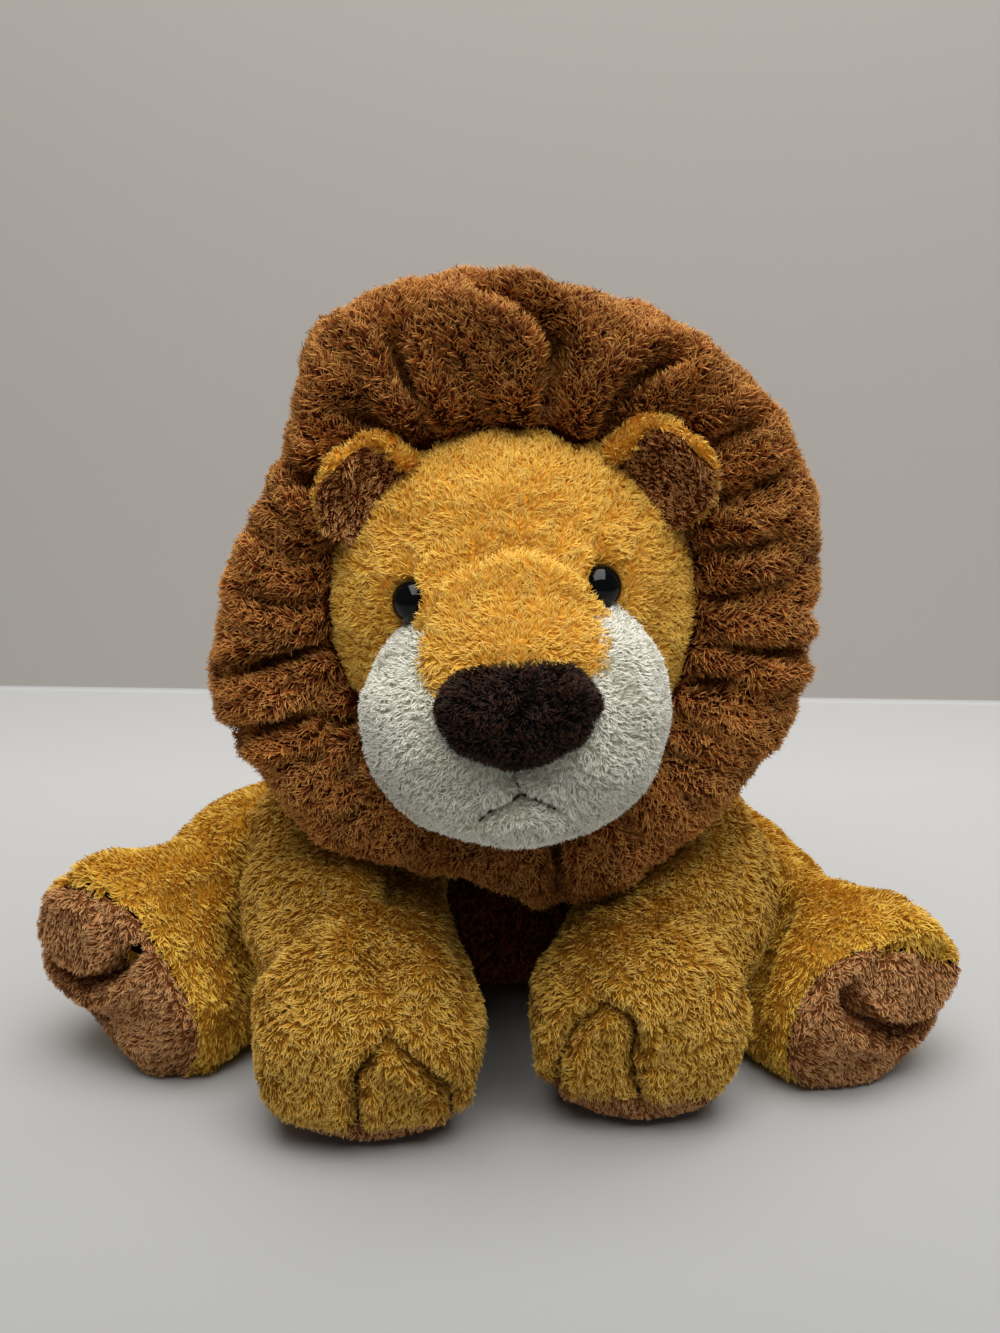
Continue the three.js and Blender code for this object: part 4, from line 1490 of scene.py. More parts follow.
@dataclass
class HindLeg(Leg):
    """A hind leg that lies on the floor with its sole to the front."""

    splay: float
    run: float
    toe: Rows
    folds: Sequence[Rows]
    torso: Torso
    front: FrontLeg
    thigh: float
    foot_width: float
    foot_height: float
    sink: float
    bow: float
    droop: float
    toe_length: float
    haunch: float
    heel: float
    roll: float
    sole_slope: float
    sole_roll: float
    spread: float = 50.0
    setback: float = 6.0
    rise: float = 33.0
    root: float = 29.0
    start: float = 6.0
    lean: float = 0.15
    slimness: float = 0.88
    sole_height: float = 27.0
    travel: float = 45.0
    gap: float = 1.4
    # Each ring's run, rise and thickness, as shares of the thigh's or, further on, the foot's.
    stations: Rows = (
        (0.0, 1.0, 0.5, 0.0),
        (0.08, 0.98, 0.84, 0.0),
        (0.2, 0.93, 1.0, 0.0),
        (0.4, 0.9, 0.98, 0.0),
        (0.58, 0.8, 0.89, 0.0),
        (0.74, 0.78, 0.0, 0.95),
        (0.88, 0.81, 0.0, 1.0),
        (0.95, 0.81, 0.0, 0.96),
        (0.985, 0.8, 0.0, 0.82),
        (1.0, 0.8, 0.0, 0.0),
    )
    fold_crease: Crease = (2.6, 2.6, 0.9)
    toe_crease: Crease = (5.2, 2.4, 2.0)
    underside: float = 0.95
    sole_seam_depth: float = 0.9
    sole_seam_width: float = 1.6
    lower_slope: float = 0.21
    turns_kept_clear: Sequence[float] = (0.0, 0.33, 0.67, 1.0)

    @property
    def pivot(self) -> Array:
        """The hip."""
        return np.array([self.side.sign * self.spread, self.setback, self.rise])

    @property
    def heading(self) -> Array:
        """The way the leg points."""
        angle = math.radians(self.splay)
        return np.array([self.side.sign * math.sin(angle), -math.cos(angle), 0.0])

    @property
    def across(self) -> Array:
        """The way across the foot."""
        return np.cross(self.heading, Z_AXIS)

    def __post_init__(self) -> None:
        """Shapes the skin and presses it against what it leans on."""
        rows = [(*(self.pivot - self.heading * self.start), 0.0, 0.0)]
        for run, rise, thigh, foot in self.stations:
            aside = self.across * self.bow * ease(run, 0.2, 0.8)
            x, y, _ = self.pivot + self.heading * run * self.run + aside
            rise *= 1 - self.sink * ease(run, 0.25, 0.85)
            wide = (thigh * self.thigh * self.slimness + foot * self.foot_width) / 2
            high = (thigh * self.thigh + foot * self.foot_height) / 2
            rows.append((x, y, rise * self.rise, wide, high))
        points, line = tube(rows, None, 120, 96, self.underside)
        free = self.formed(points, line)
        points = self.pressed(free, line[:, :3])
        held = np.linalg.norm(points - free, axis=2) > 0.4
        rooted = np.linalg.norm(points - self.pivot, axis=2) < self.root
        held |= (points[..., 2] < FLOOR_HOLD) | rooted
        seam = self.traced(sewn(points), self.toe)
        held |= (nearest_gap(points.reshape(-1, 3), seam) < SEAM_HOLD).reshape(held.shape)
        held |= np.abs(self.beyond_sole(points)) < 1.2
        self.surface = sewn(Stuffing().fill(points, held))
        self.surface.ripple(0.8, 130 + int(self.side.sign), 26.0, -0.6)
        self.surface.crease(self.traced(self.surface, self.toe), *self.toe_crease)
        for fold in self.folds:
            self.surface.crease(self.traced(self.surface, fold), *self.fold_crease)
        beyond = self.beyond_sole(self.surface.points)
        self.surface.swell(-self.sole_seam_depth * np.exp(-((beyond / self.sole_seam_width) ** 2)))
        self.surface.settle(0.9, 2.0)

    def formed(self, points: Array, line: Array) -> Array:
        """Flattens the haunch, draws the heel in, and rolls, droops and leans the foot.

        Args:
            points: Points by ring and side.
            line: Each ring's middle, half width and half height.

        Returns:
            The formed points.
        """
        outward = self.across * np.sign(self.across[0] * self.side.sign)
        forward = ease((points - self.pivot) @ self.heading, 0.45 * self.run, 0.8 * self.run)
        reach = points - line[:, None, :3]
        section = np.stack([reach @ outward, reach[..., 2]], -1) / np.maximum(line[:, None, 3:], 1)
        below = section[..., 1] < 0
        drawn = np.where(below, quartered(section, self.heel), quartered(section, self.haunch))
        drawn = 1 + (drawn - 1) * np.where(below, forward, 1 - forward)
        points = line[:, None, :3] + reach * np.where(section[..., 0] > 0, drawn, 1.0)[..., None]
        points += outward * (self.roll * (points[..., 2:] - 36) * forward[..., None])
        outer = np.clip(section[..., 0], 0, 1.2)
        points[..., 2] -= self.droop * outer**1.5 * forward * np.clip(points[..., 2] / 55, 0, 1)
        return points + self.heading * (self.lean * (points[..., 2:] - 20) * forward[..., None])

    def blocked(self, points: Array) -> Array:
        """Which points the torso or the front leg leaves no room for, at any turn of the hip."""
        free = np.linalg.norm(points - self.pivot, axis=1) < self.root - 1.5
        taken = self.front.holds(points, self.gap)
        for share in self.turns_kept_clear:
            aside = turned(points, self.pivot, self.side.sign * self.travel * share)
            taken |= self.torso.holds(aside, self.gap)
        return taken & ~free

    def pressed(self, points: Array, middles: Array) -> Array:
        """Draws the skin in, softly, to where nothing blocks it.

        Args:
            points: Points by ring and side.
            middles: Each ring's middle.

        Returns:
            The drawn points.
        """
        reach = points - middles[:, None]
        share = np.ones(points.shape[:2])
        for step in np.arange(0.96, 0.06, -0.04):
            spots = (middles[:, None] + reach * share[..., None]).reshape(-1, 3)
            share[self.blocked(spots).reshape(share.shape)] = step
        for _ in range(2):
            share = np.minimum(share, np.minimum(np.roll(share, 1, 1), np.roll(share, -1, 1)))
            share[1:-1] = np.minimum(share[1:-1], np.minimum(share[:-2], share[2:]))
        for _ in range(5):
            share = (share * 2 + np.roll(share, 1, 1) + np.roll(share, -1, 1)) / 4
            share[1:-1] = (share[1:-1] * 2 + share[:-2] + share[2:]) / 4
        return middles[:, None] + reach * share[..., None]

    def beyond_sole(self, points: Array) -> Array:
        """How far points lie beyond the sole's seam, which leans more over the toes."""
        reach = points - self.pivot
        height = points[..., 2] - self.sole_height - self.sole_roll * (reach @ self.across)
        slope = np.where(height > 0, self.sole_slope, self.lower_slope)
        along = reach @ self.heading - (self.run - self.toe_length)
        return (along - slope * height) / np.sqrt(1 + slope**2)

    def traced(self, skin: Surface, line: Rows) -> Array:
        """A line over the front of the foot, from places across and up it."""
        spots = [
            self.pivot * np.array([1, 1, 0]) + self.across * across + Z_AXIS * up
            for across, up in line
        ]
        return skin.trace(np.array(spots) + self.heading * 200, -self.heading)

    def build(self, tailor: Tailor) -> None:
        """Sews the leg, its sole and toe thread, and grows its pile."""
        name, sign = self.side.value, int(self.side.sign)
        body, points = f"hind_leg_{name}", self.surface.points
        sole = self.beyond_sole(points) > 0
        toe = self.traced(self.surface, self.toe)
        self.sew(tailor, "hind", HIND_GOLD_PAINTED_LIGHT, sole, [toe])
        flow = brushed(*(self.heading - 0.7 * Z_AXIS))
        rooted = np.linalg.norm(points - self.pivot, axis=1) < self.root - 4
        shown = self.surface.part(~sole & ~(rooted & self.torso.holds(points, -4.0)))
        cut = PileCut(seed=140 + sign, length=3.8, width=0.34, per_mm2=2.5)
        tailor.pile(f"{body}_pile", shown, cut, flow, HIND_GOLD_PAINTED_LIGHT, body)
        short = PileCut(seed=144 + sign, length=3.3, width=0.34, per_mm2=3.0)
        shown = self.surface.part(sole)
        tailor.pile(f"hind_sole_{name}_pile", shown, short, flow, SOLE_BROWN, body, toe)


# Head


@dataclass
class Face:
    """The golden head with its brow and the bridge down to the nose."""

    ball: Triple = (46.8, 43.0, 46.0)
    bridge: Sequence[Lump] = (
        Lump((0.0, -40.0, 5.6), (22.2, 19.0, 12.2), 38.0),
        Lump((0.0, -50.5, -5.2), (21.3, 16.5, 12.4), 35.0),
    )
    softness: float = 3.0
    brow_fold: Rows = ((-19.0, 6.0), (-15.4, 14.0), (1.5, 19.8), (15.5, 14.0), (19.5, 6.0))
    brow_crease: Crease = (1.3, 2.6, 0.6)
    pile_change: float = -4.0
    under_nose: tuple[float, float] = (-48.0, -9.0)
    eye_bare: float = 4.9
    eye_spots: Rows = ((-22.3, 8.4), (20.6, 8.8))
    eye_turn: float = 0.45
    front_cut: PileCut = PileCut(
        seed=41, length=3.3, width=0.31, per_mm2=3.6, lean=50, clump=0.6, clump_size=1.5
    )
    back_cut: PileCut = PileCut(seed=42, length=3.4, width=0.4, per_mm2=1.8)
    surface: Surface = field(init=False)

    def __post_init__(self) -> None:
        """Shapes the skin, in the head's space, with a socket for each eye."""
        lumps = (Lump((0, 0, 0), self.ball), *self.bridge)
        self.surface = modelled(lumps, (0, -4, 0), self.softness, 160, 160)
        self.surface.ripple(0.45, 151, 22.0)
        self.surface.crease(self.surface.under(self.brow_fold), *self.brow_crease)
        for side in Side:
            seat, out = self.eye_seat(side)
            reach = self.surface.points - seat
            height = reach @ out
            gap = np.linalg.norm(reach - height[:, None] * out, axis=1)
            sunk = np.clip(height + 0.6, 0, None) * (1 - ease(gap, 4.6, 7.4)) * (height > -12)
            self.surface.points -= out * sunk[:, None]

    def eye_seat(self, side: Side) -> tuple[Array, Array]:
        """Where an eye sits on the head's ball, and the way it faces."""
        x, z = self.eye_spots[0 if side is Side.LEFT else 1]
        wide, deep, high = self.ball
        y = -deep * math.sqrt(1 - (x / wide) ** 2 - (z / high) ** 2)
        seat = np.array([x, y, z])
        return seat, unit(unit(seat / np.array(self.ball) ** 2) + side.sign * self.eye_turn * X_AXIS)

    def build(self, tailor: Tailor, mouth: Array) -> None:
        """Sews the head and grows its pile away from the nose.

        Args:
            tailor: Makes the pieces.
            mouth: The point that the pile is brushed away from, in the head's space.
        """
        local, rolled = self.surface.points, HEAD.skin(self.surface)
        solids = ("head_cover", "head_filling", "nose_bridge")
        tailor.make("head_skin", rolled, FACE_GOLD_PAINTED_LIGHT, "head", solids, 0.9)
        rear = local[:, 1] > self.pile_change
        front, top = self.under_nose
        hidden = (local[:, 1] < front) & (local[:, 2] < top)
        seats = np.stack([self.eye_seat(side)[0] for side in Side])
        hidden |= nearest_gap(local, seats) < self.eye_bare
        shown, away = rolled.part(~rear & ~hidden), away_from(HEAD.spot(mouth))
        tailor.pile("head_pile_front", shown, self.front_cut, away, FACE_GOLD_PAINTED_LIGHT, "head")
        tailor.pile("head_pile_back", rolled.part(rear), self.back_cut, away, FACE_GOLD_PAINTED_LIGHT, "head")


@dataclass
class Muzzle:
    """The white muzzle: two stuffed cheeks joined under the nose."""

    lumps: Sequence[Lump] = (
        Lump((-11.8, -36, -20.6), (24.2, 28.0, 26.6)),
        Lump((11.4, -36, -19.8), (23.0, 28.0, 27.4)),
        Lump((-0.5, -43, -34.0), (20.0, 19.0, 14.5)),
    )
    softness: float = 2.0
    mouth: Sequence[Rows] = (
        ((-2.0, -25.5), (-1.3, -29.5), (-0.8, -32.6)),
        ((-0.8, -32.4), (-4.5, -34.2), (-8.4, -36.4), (-10.6, -38.2)),
        ((-0.8, -32.4), (1.8, -33.4), (4.8, -35.2), (6.8, -36.6)),
    )
    mouth_crease: Crease = (2.4, 1.8, 0.6)
    stitch: float = 2.6
    stitch_gap: float = 0.8
    thread: float = 0.3
    thread_lift: float = 0.4
    pile_back: float = -14.0
    cut: PileCut = PileCut(
        seed=51, length=3.1, width=0.31, per_mm2=4.0, lean=42, clump_size=1.5, part=0.3
    )
    surface: Surface = field(init=False)

    def __post_init__(self) -> None:
        """Shapes the skin, in the head's space."""
        self.surface = modelled(self.lumps, (0, -34, -22), self.softness, 110, 110)
        self.surface.ripple(0.4, 161, 18.0)
        for line in self.mouth:
            self.surface.crease(self.surface.under(line, spacing=0.5), *self.mouth_crease)

    def build(self, tailor: Tailor, nose: Array) -> None:
        """Sews the muzzle and the mouth, and grows the pile away from the nose.

        Args:
            tailor: Makes the pieces.
            nose: The point that the pile is brushed away from, in the head's space.
        """
        rolled = HEAD.skin(self.surface)
        solids = ("muzzle_cover", "muzzle_filling")
        tailor.make("muzzle_skin", rolled, MUZZLE_WHITE, "head", solids, 0.9)
        lines = [self.surface.under(line, spacing=0.5) for line in self.mouth]
        shown = rolled.part(self.surface.points[:, 1] < self.pile_back)
        away, parting = away_from(HEAD.spot(nose)), HEAD.place(np.vstack(lines))
        tailor.pile("muzzle_pile", shown, self.cut, away, MUZZLE_WHITE, "head", parting)
        cuts = [cut for line in lines for cut in stitches(line, self.stitch, self.stitch_gap)]
        sewing = threads([HEAD.place(cut - self.thread_lift * Y_AXIS) for cut in cuts], self.thread)
        tailor.make("mouth_thread", sewing, THREAD_BROWN, "head", ("mouth_stitch",))


@dataclass
class Nose:
    """The dark nose, broad at the top and narrow below."""

    middle: Triple = (0.0, -62.4, -13.2)
    half_width: float = 16.9
    half_height: float = 11.4
    front_depth: float = 10.5
    back_depth: float = 12.0
    taper: float = 0.14
    fullness: float = 0.84
    cut: PileCut = PileCut(
        seed=61, length=3.3, width=0.31, per_mm2=4.8, lean=36, swirl=60, curl=1.7, clump_size=1.4
    )

    def build(self, tailor: Tailor) -> None:
        """Sews the nose and grows its short pile."""
        opening = np.linspace(0, math.pi, 52)[:, None]
        angles = np.linspace(0, 2 * math.pi, 80, endpoint=False)
        wide = np.sin(opening) ** 0.78
        turns = (np.cos(angles), np.sin(angles))
        across, up = (np.sign(turn) * np.abs(turn) ** self.fullness for turn in turns)
        x = wide * self.half_width * across * (1 + self.taper * up)
        z = wide * self.half_height * up * (1 - 0.12 * across**2)
        depth = np.where(opening < math.pi / 2, self.front_depth, self.back_depth)
        y = -np.cos(opening) * depth * np.ones(len(angles)) - 0.16 * z
        surface = sewn(np.stack([x, y, z], -1) + np.array(self.middle))
        surface.ripple(0.35, 171, 9.0)
        surface = HEAD.skin(surface)
        tailor.make("nose_skin", surface, NOSE_BROWN, "head", ("nose",), 0.9)
        away = away_from(HEAD.spot(np.array(self.middle) + np.array([0, -2, 3])))
        tailor.pile("nose_pile", surface, self.cut, away, NOSE_BROWN, "head")


@dataclass
class Eye:
    """A button eye: a glossy dome with a stem into the head."""

    side: Side
    face: Face
    radius: float = 5.3
    dome: float = 4.4
    flange: float = 1.0
    stem: float = 1.8
    stem_length: float = 9.0
    lift: float = 0.6

    def build(self, tailor: Tailor) -> None:
        """Turns the button, seats it on the face and gives its lock washer a finish."""
        seat, out = self.face.eye_seat(self.side)
        profile = [(0.0, self.dome)]
        for angle in np.linspace(8, 88, 18):
            turn = math.radians(angle)
            profile.append((self.radius * math.sin(turn), self.dome * math.cos(turn)))
        profile += [(self.radius, 0.0), (self.radius - 0.2, -self.flange), (self.stem, -self.flange)]
        profile += [(self.stem, -self.stem_length), (0.0, -self.stem_length)]
        across = unit(np.cross(out, Z_AXIS))
        up = np.cross(across, out)
        angles = np.linspace(0, 2 * math.pi, 48, endpoint=False)
        around = np.cos(angles)[:, None] * across + np.sin(angles)[:, None] * up
        rings = np.stack([seat + out * (h + self.lift) + around * r for r, h in profile])
        name = f"eye_{self.side.value}"
        tailor.make(f"{name}_button", HEAD.skin(sewn(rings)), EYE_BLACK, "head", (name,))
        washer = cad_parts[f"eye_washer_{self.side.value}"].data.materials
        washer.clear()
        washer.append(tailor.material(WASHER_WHITE.name, WASHER_WHITE.material))


@dataclass
class Ear:
    """A cupped ear with a brown lining, whose upper inner edge folds forward."""

    side: Side
    lift: float
    reach: float
    radius: float
    setback: float = -16.5
    thickness: float = 5.4
    cup: float = 4.5
    turn: float = 6.5
    flap: float = 1.35
    fold_at: float = 0.7
    fold_radius: float = 3.2
    lining: float = 0.84
    press: float = 8.0
    press_reach: float = 14.0

    @property
    def out(self) -> Array:
        """The way from the head's middle to the ear."""
        angle = math.radians(self.lift)
        return np.array([self.side.sign * math.cos(angle), 0, math.sin(angle)])

    @property
    def middle(self) -> Array:
        """The ear's middle, in the head's space."""
        return self.out * self.reach + Y_AXIS * self.setback

    def pressing(self, points: Array) -> Array:
        """How far the ear pushes the mane behind it back."""
        gap = np.hypot(*(points - self.middle)[:, ::2].T)
        return self.press * np.exp(-((gap / self.press_reach) ** 2))

    def shape(self) -> tuple[Surface, Array]:
        """The ear's skin in the head's space, whose inner edge rolls forward over the lining.

        Returns:
            The skin, and which of its points the lining covers.
        """
        inward = np.cross(self.out, Y_AXIS) * self.side.sign
        turns = np.linspace(0, 2 * math.pi, 96, endpoint=False)
        steps = np.linspace(0, 2, 60)
        rho = np.where(steps < 1, steps, 2 - steps)[:, None]
        face = np.where(steps < 1, -1.0, 1.0)[:, None]
        spread = np.sin(rho * math.pi / 2) ** 0.9
        a = spread * np.cos(turns) * self.radius
        b = spread * np.sin(turns) * self.radius
        run = np.where(a > 0, a * self.flap, a)
        start = self.fold_at * self.radius
        roll = np.clip(run - start, 0, None) / self.fold_radius
        across = np.where(roll > 0, start + self.fold_radius * np.sin(roll), run)
        half = self.thickness / 2 * np.sqrt(np.clip(1 - spread**6, 0, 1))
        across = across * (1 - 0.28 * ease(-b / self.radius, 0.0, 1.0)) + face * half * np.sin(roll)
        cup = self.cup * spread**2 * (1 - ease(a / self.radius, 0.0, 0.5))
        y = face * half * np.cos(roll) - self.fold_radius * (1 - np.cos(roll)) - cup
        y = y - self.turn * b / self.radius
        points = self.out * b[..., None] + inward * across[..., None] + Y_AXIS * y[..., None]
        edge = self.lining + (1.05 - self.lining) * ease(-np.cos(turns), -0.1, 0.8)
        lined = (face < 0) & (spread < edge)
        marks = np.vstack([lined[1:-1].reshape(-1, 1), [[True]], [[False]]]).ravel()
        return sewn(points + self.middle), marks

    def build(self, tailor: Tailor) -> None:
        """Sews the ear and its lining and grows their pile."""
        name, sign = self.side.value, int(self.side.sign)
        surface, lined = self.shape()
        surface.ripple(0.35, 180 + sign, 10.0)
        surface = HEAD.skin(surface)
        away = away_from(HEAD.spot(self.middle - self.out * 9 + Y_AXIS * 4))
        ear, inside = f"ear_{name}", f"ear_lining_{name}"
        shell, lining = surface.part(~lined), surface.part(lined)
        tailor.make(f"{ear}_skin", shell, FACE_GOLD_PAINTED_LIGHT, "head", (ear,), 0.4)
        tailor.make(f"{inside}_skin", lining, EAR_BROWN, "head", (inside,), 0.3)
        cut = PileCut(seed=190 + sign, length=3.3, width=0.35, per_mm2=3.6, lean=42, clump_size=1.5)
        tailor.pile(f"{ear}_pile", shell, cut, away, FACE_GOLD_PAINTED_LIGHT, "head")
        cut = PileCut(seed=194 + sign, length=3.2, width=0.34, per_mm2=3.5, lean=42, clump_size=1.5)
        tailor.pile(f"{inside}_pile", lining, cut, away, EAR_BROWN, "head")


@dataclass
class Mane:
    """The gathered ring of long pile sewn round the face."""

    ears: Sequence[Ear]
    setback: float = -7.0
    seam: float = 43.0
    front: float = 13.0
    back: float = 9.5
    gathers: int = 29
    gather_depth: float = 0.2
    # The rim's reach every 15 degrees, from the right and over the top.
    rim_reach: Sequence[float] = (
        77.5, 81.0, 82.0, 81.6, 81.0, 80.2, 82.6, 84.2, 84.2, 72.5, 68.2, 71.8,
        76.4, 80.4, 80.0, 80.8, 76.4, 74.8, 79.4, 81.6, 78.2, 76.6, 77.8, 77.2,
    )  # fmt: skip
    pile_reach: float = 3.2
    # Each crease's line by angle and reach, its depth and half the width of its furrow.
    creases: Sequence[tuple[Rows, float, float]] = (
        (((77, 47), (76, 56), (77, 66), (84, 74), (92, 79)), 5.0, 3.0),
        (((110, 47), (110, 58), (109, 70)), 3.2, 2.6),
        (((94, 46), (95, 54), (95, 62)), 3.0, 2.2),
        (((116, 47), (121, 56), (127, 66)), 2.6, 3.2),
        (((60, 46), (60, 57), (57, 66), (53, 73)), 4.2, 2.6),
        (((40, 48), (37, 60), (34, 75)), 3.4, 2.6),
        (((25, 47), (24, 57), (23, 74)), 4.6, 2.8),
        (((13, 46), (12, 56), (11, 68)), 4.6, 2.8),
        (((0, 46), (1, 56), (2, 66)), 3.2, 2.6),
        (((346, 52), (347, 62), (348, 76)), 4.6, 2.6),
        (((332, 46), (337, 53), (341, 60)), 2.6, 2.4),
        (((312, 48), (316, 58), (318, 68)), 2.0, 2.4),
        (((290, 48), (293, 58), (295, 68)), 2.0, 2.4),
        (((275, 52), (276, 62), (275, 76)), 4.4, 2.4),
        (((252, 48), (250, 58), (249, 68)), 2.0, 2.4),
        (((232, 48), (229, 58), (227, 70)), 2.4, 2.4),
        (((213, 47), (203, 57), (200, 77)), 4.0, 2.6),
        (((186, 46), (187, 57), (188, 73)), 4.2, 2.4),
        (((172, 46), (173, 56), (172, 66)), 2.4, 2.2),
        (((158, 45), (161, 54), (158, 65)), 4.0, 2.6),
        (((142, 46), (141, 54), (143, 62)), 3.0, 3.0),
    )
    crease_depth: float = 2.3
    crease_puff: float = 0.55
    pile_starts: tuple[float, float] = (46.0, 44.5)
    cut: PileCut = PileCut(
        seed=71, length=4.7, width=0.4, per_mm2=3.0, lean=52, swirl=22, clump=0.35
    )

    def shape(self) -> Surface:
        """The mane's skin, in the head's space."""
        steps, sides = 420, 64
        around = np.linspace(0, 2 * math.pi, steps, endpoint=False)
        section = np.linspace(0, 2 * math.pi, sides, endpoint=False)
        reach = self.rim_at(around)[:, None] - self.pile_reach
        c, s = np.cos(section), np.sin(section)
        out = (1 + np.sign(c) * np.abs(c) ** 0.85) / 2
        gather = np.sin(self.gathers * around + 2.2 * np.sin(3 * around) + 1.1 * np.sin(7 * around))
        fold = 1 + (gather * self.gather_depth)[:, None] * (1 - out) ** 0.9
        thick = np.where(s > 0, self.front, self.back) * np.abs(s) ** 0.7
        thick = thick * (0.82 + 0.28 * out)
        radial = self.seam + (reach - self.seam) * out
        y = -np.sign(s) * thick * fold + self.setback
        across, up = radial * np.cos(around)[:, None], radial * np.sin(around)[:, None]
        surface = Surface.ring(np.stack([across, y, up], -1))
        surface.ripple(0.8, 201, 16.0)
        for line, depth, width in self.creases:
            turns = [(math.radians(angle), reach) for angle, reach in line]
            line = surface.under([(r * math.cos(a), r * math.sin(a)) for a, r in turns])
            surface.crease(line, self.crease_depth * depth, width, self.crease_puff * depth)
        front = ease(-surface.points[:, 1], -self.setback, 6 - self.setback)
        surface.points[:, 1] += front * sum(ear.pressing(surface.points) for ear in self.ears)
        return surface

    def rim_at(self, around: Array) -> Array:
        """The rim's reach at angles round the ring."""
        knots = np.array(self.rim_reach)
        closed = np.r_[knots[-2:], knots, knots[:3]][:, None]
        share = (around / (2 * math.pi) * len(knots) + 2) / (len(closed) - 1)
        return spline(closed, share)[:, 0]

    def build(self, tailor: Tailor) -> None:
        """Sews the mane and grows its pile outwards."""
        surface = self.shape()
        x, y, z = surface.points.T
        surface = HEAD.skin(surface)
        tailor.make("mane_skin", surface, MANE_RUST, "head", ("mane_ruff", "mane_wadding"), 0.6)
        outward = away_from(np.array(HEAD.middle) + self.setback * Y_AXIS, 0.2)
        rear = y > self.setback + 1.0
        bare = np.hypot(x, z) < np.where(rear, *self.pile_starts)
        for name, mark, seed in (("front", ~rear, 71), ("back", rear, 72)):
            shown, cut = surface.part(mark & ~bare), replace(self.cut, seed=seed)
            tailor.pile(f"mane_pile_{name}", shown, cut, outward, MANE_RUST, "head")


# Studio


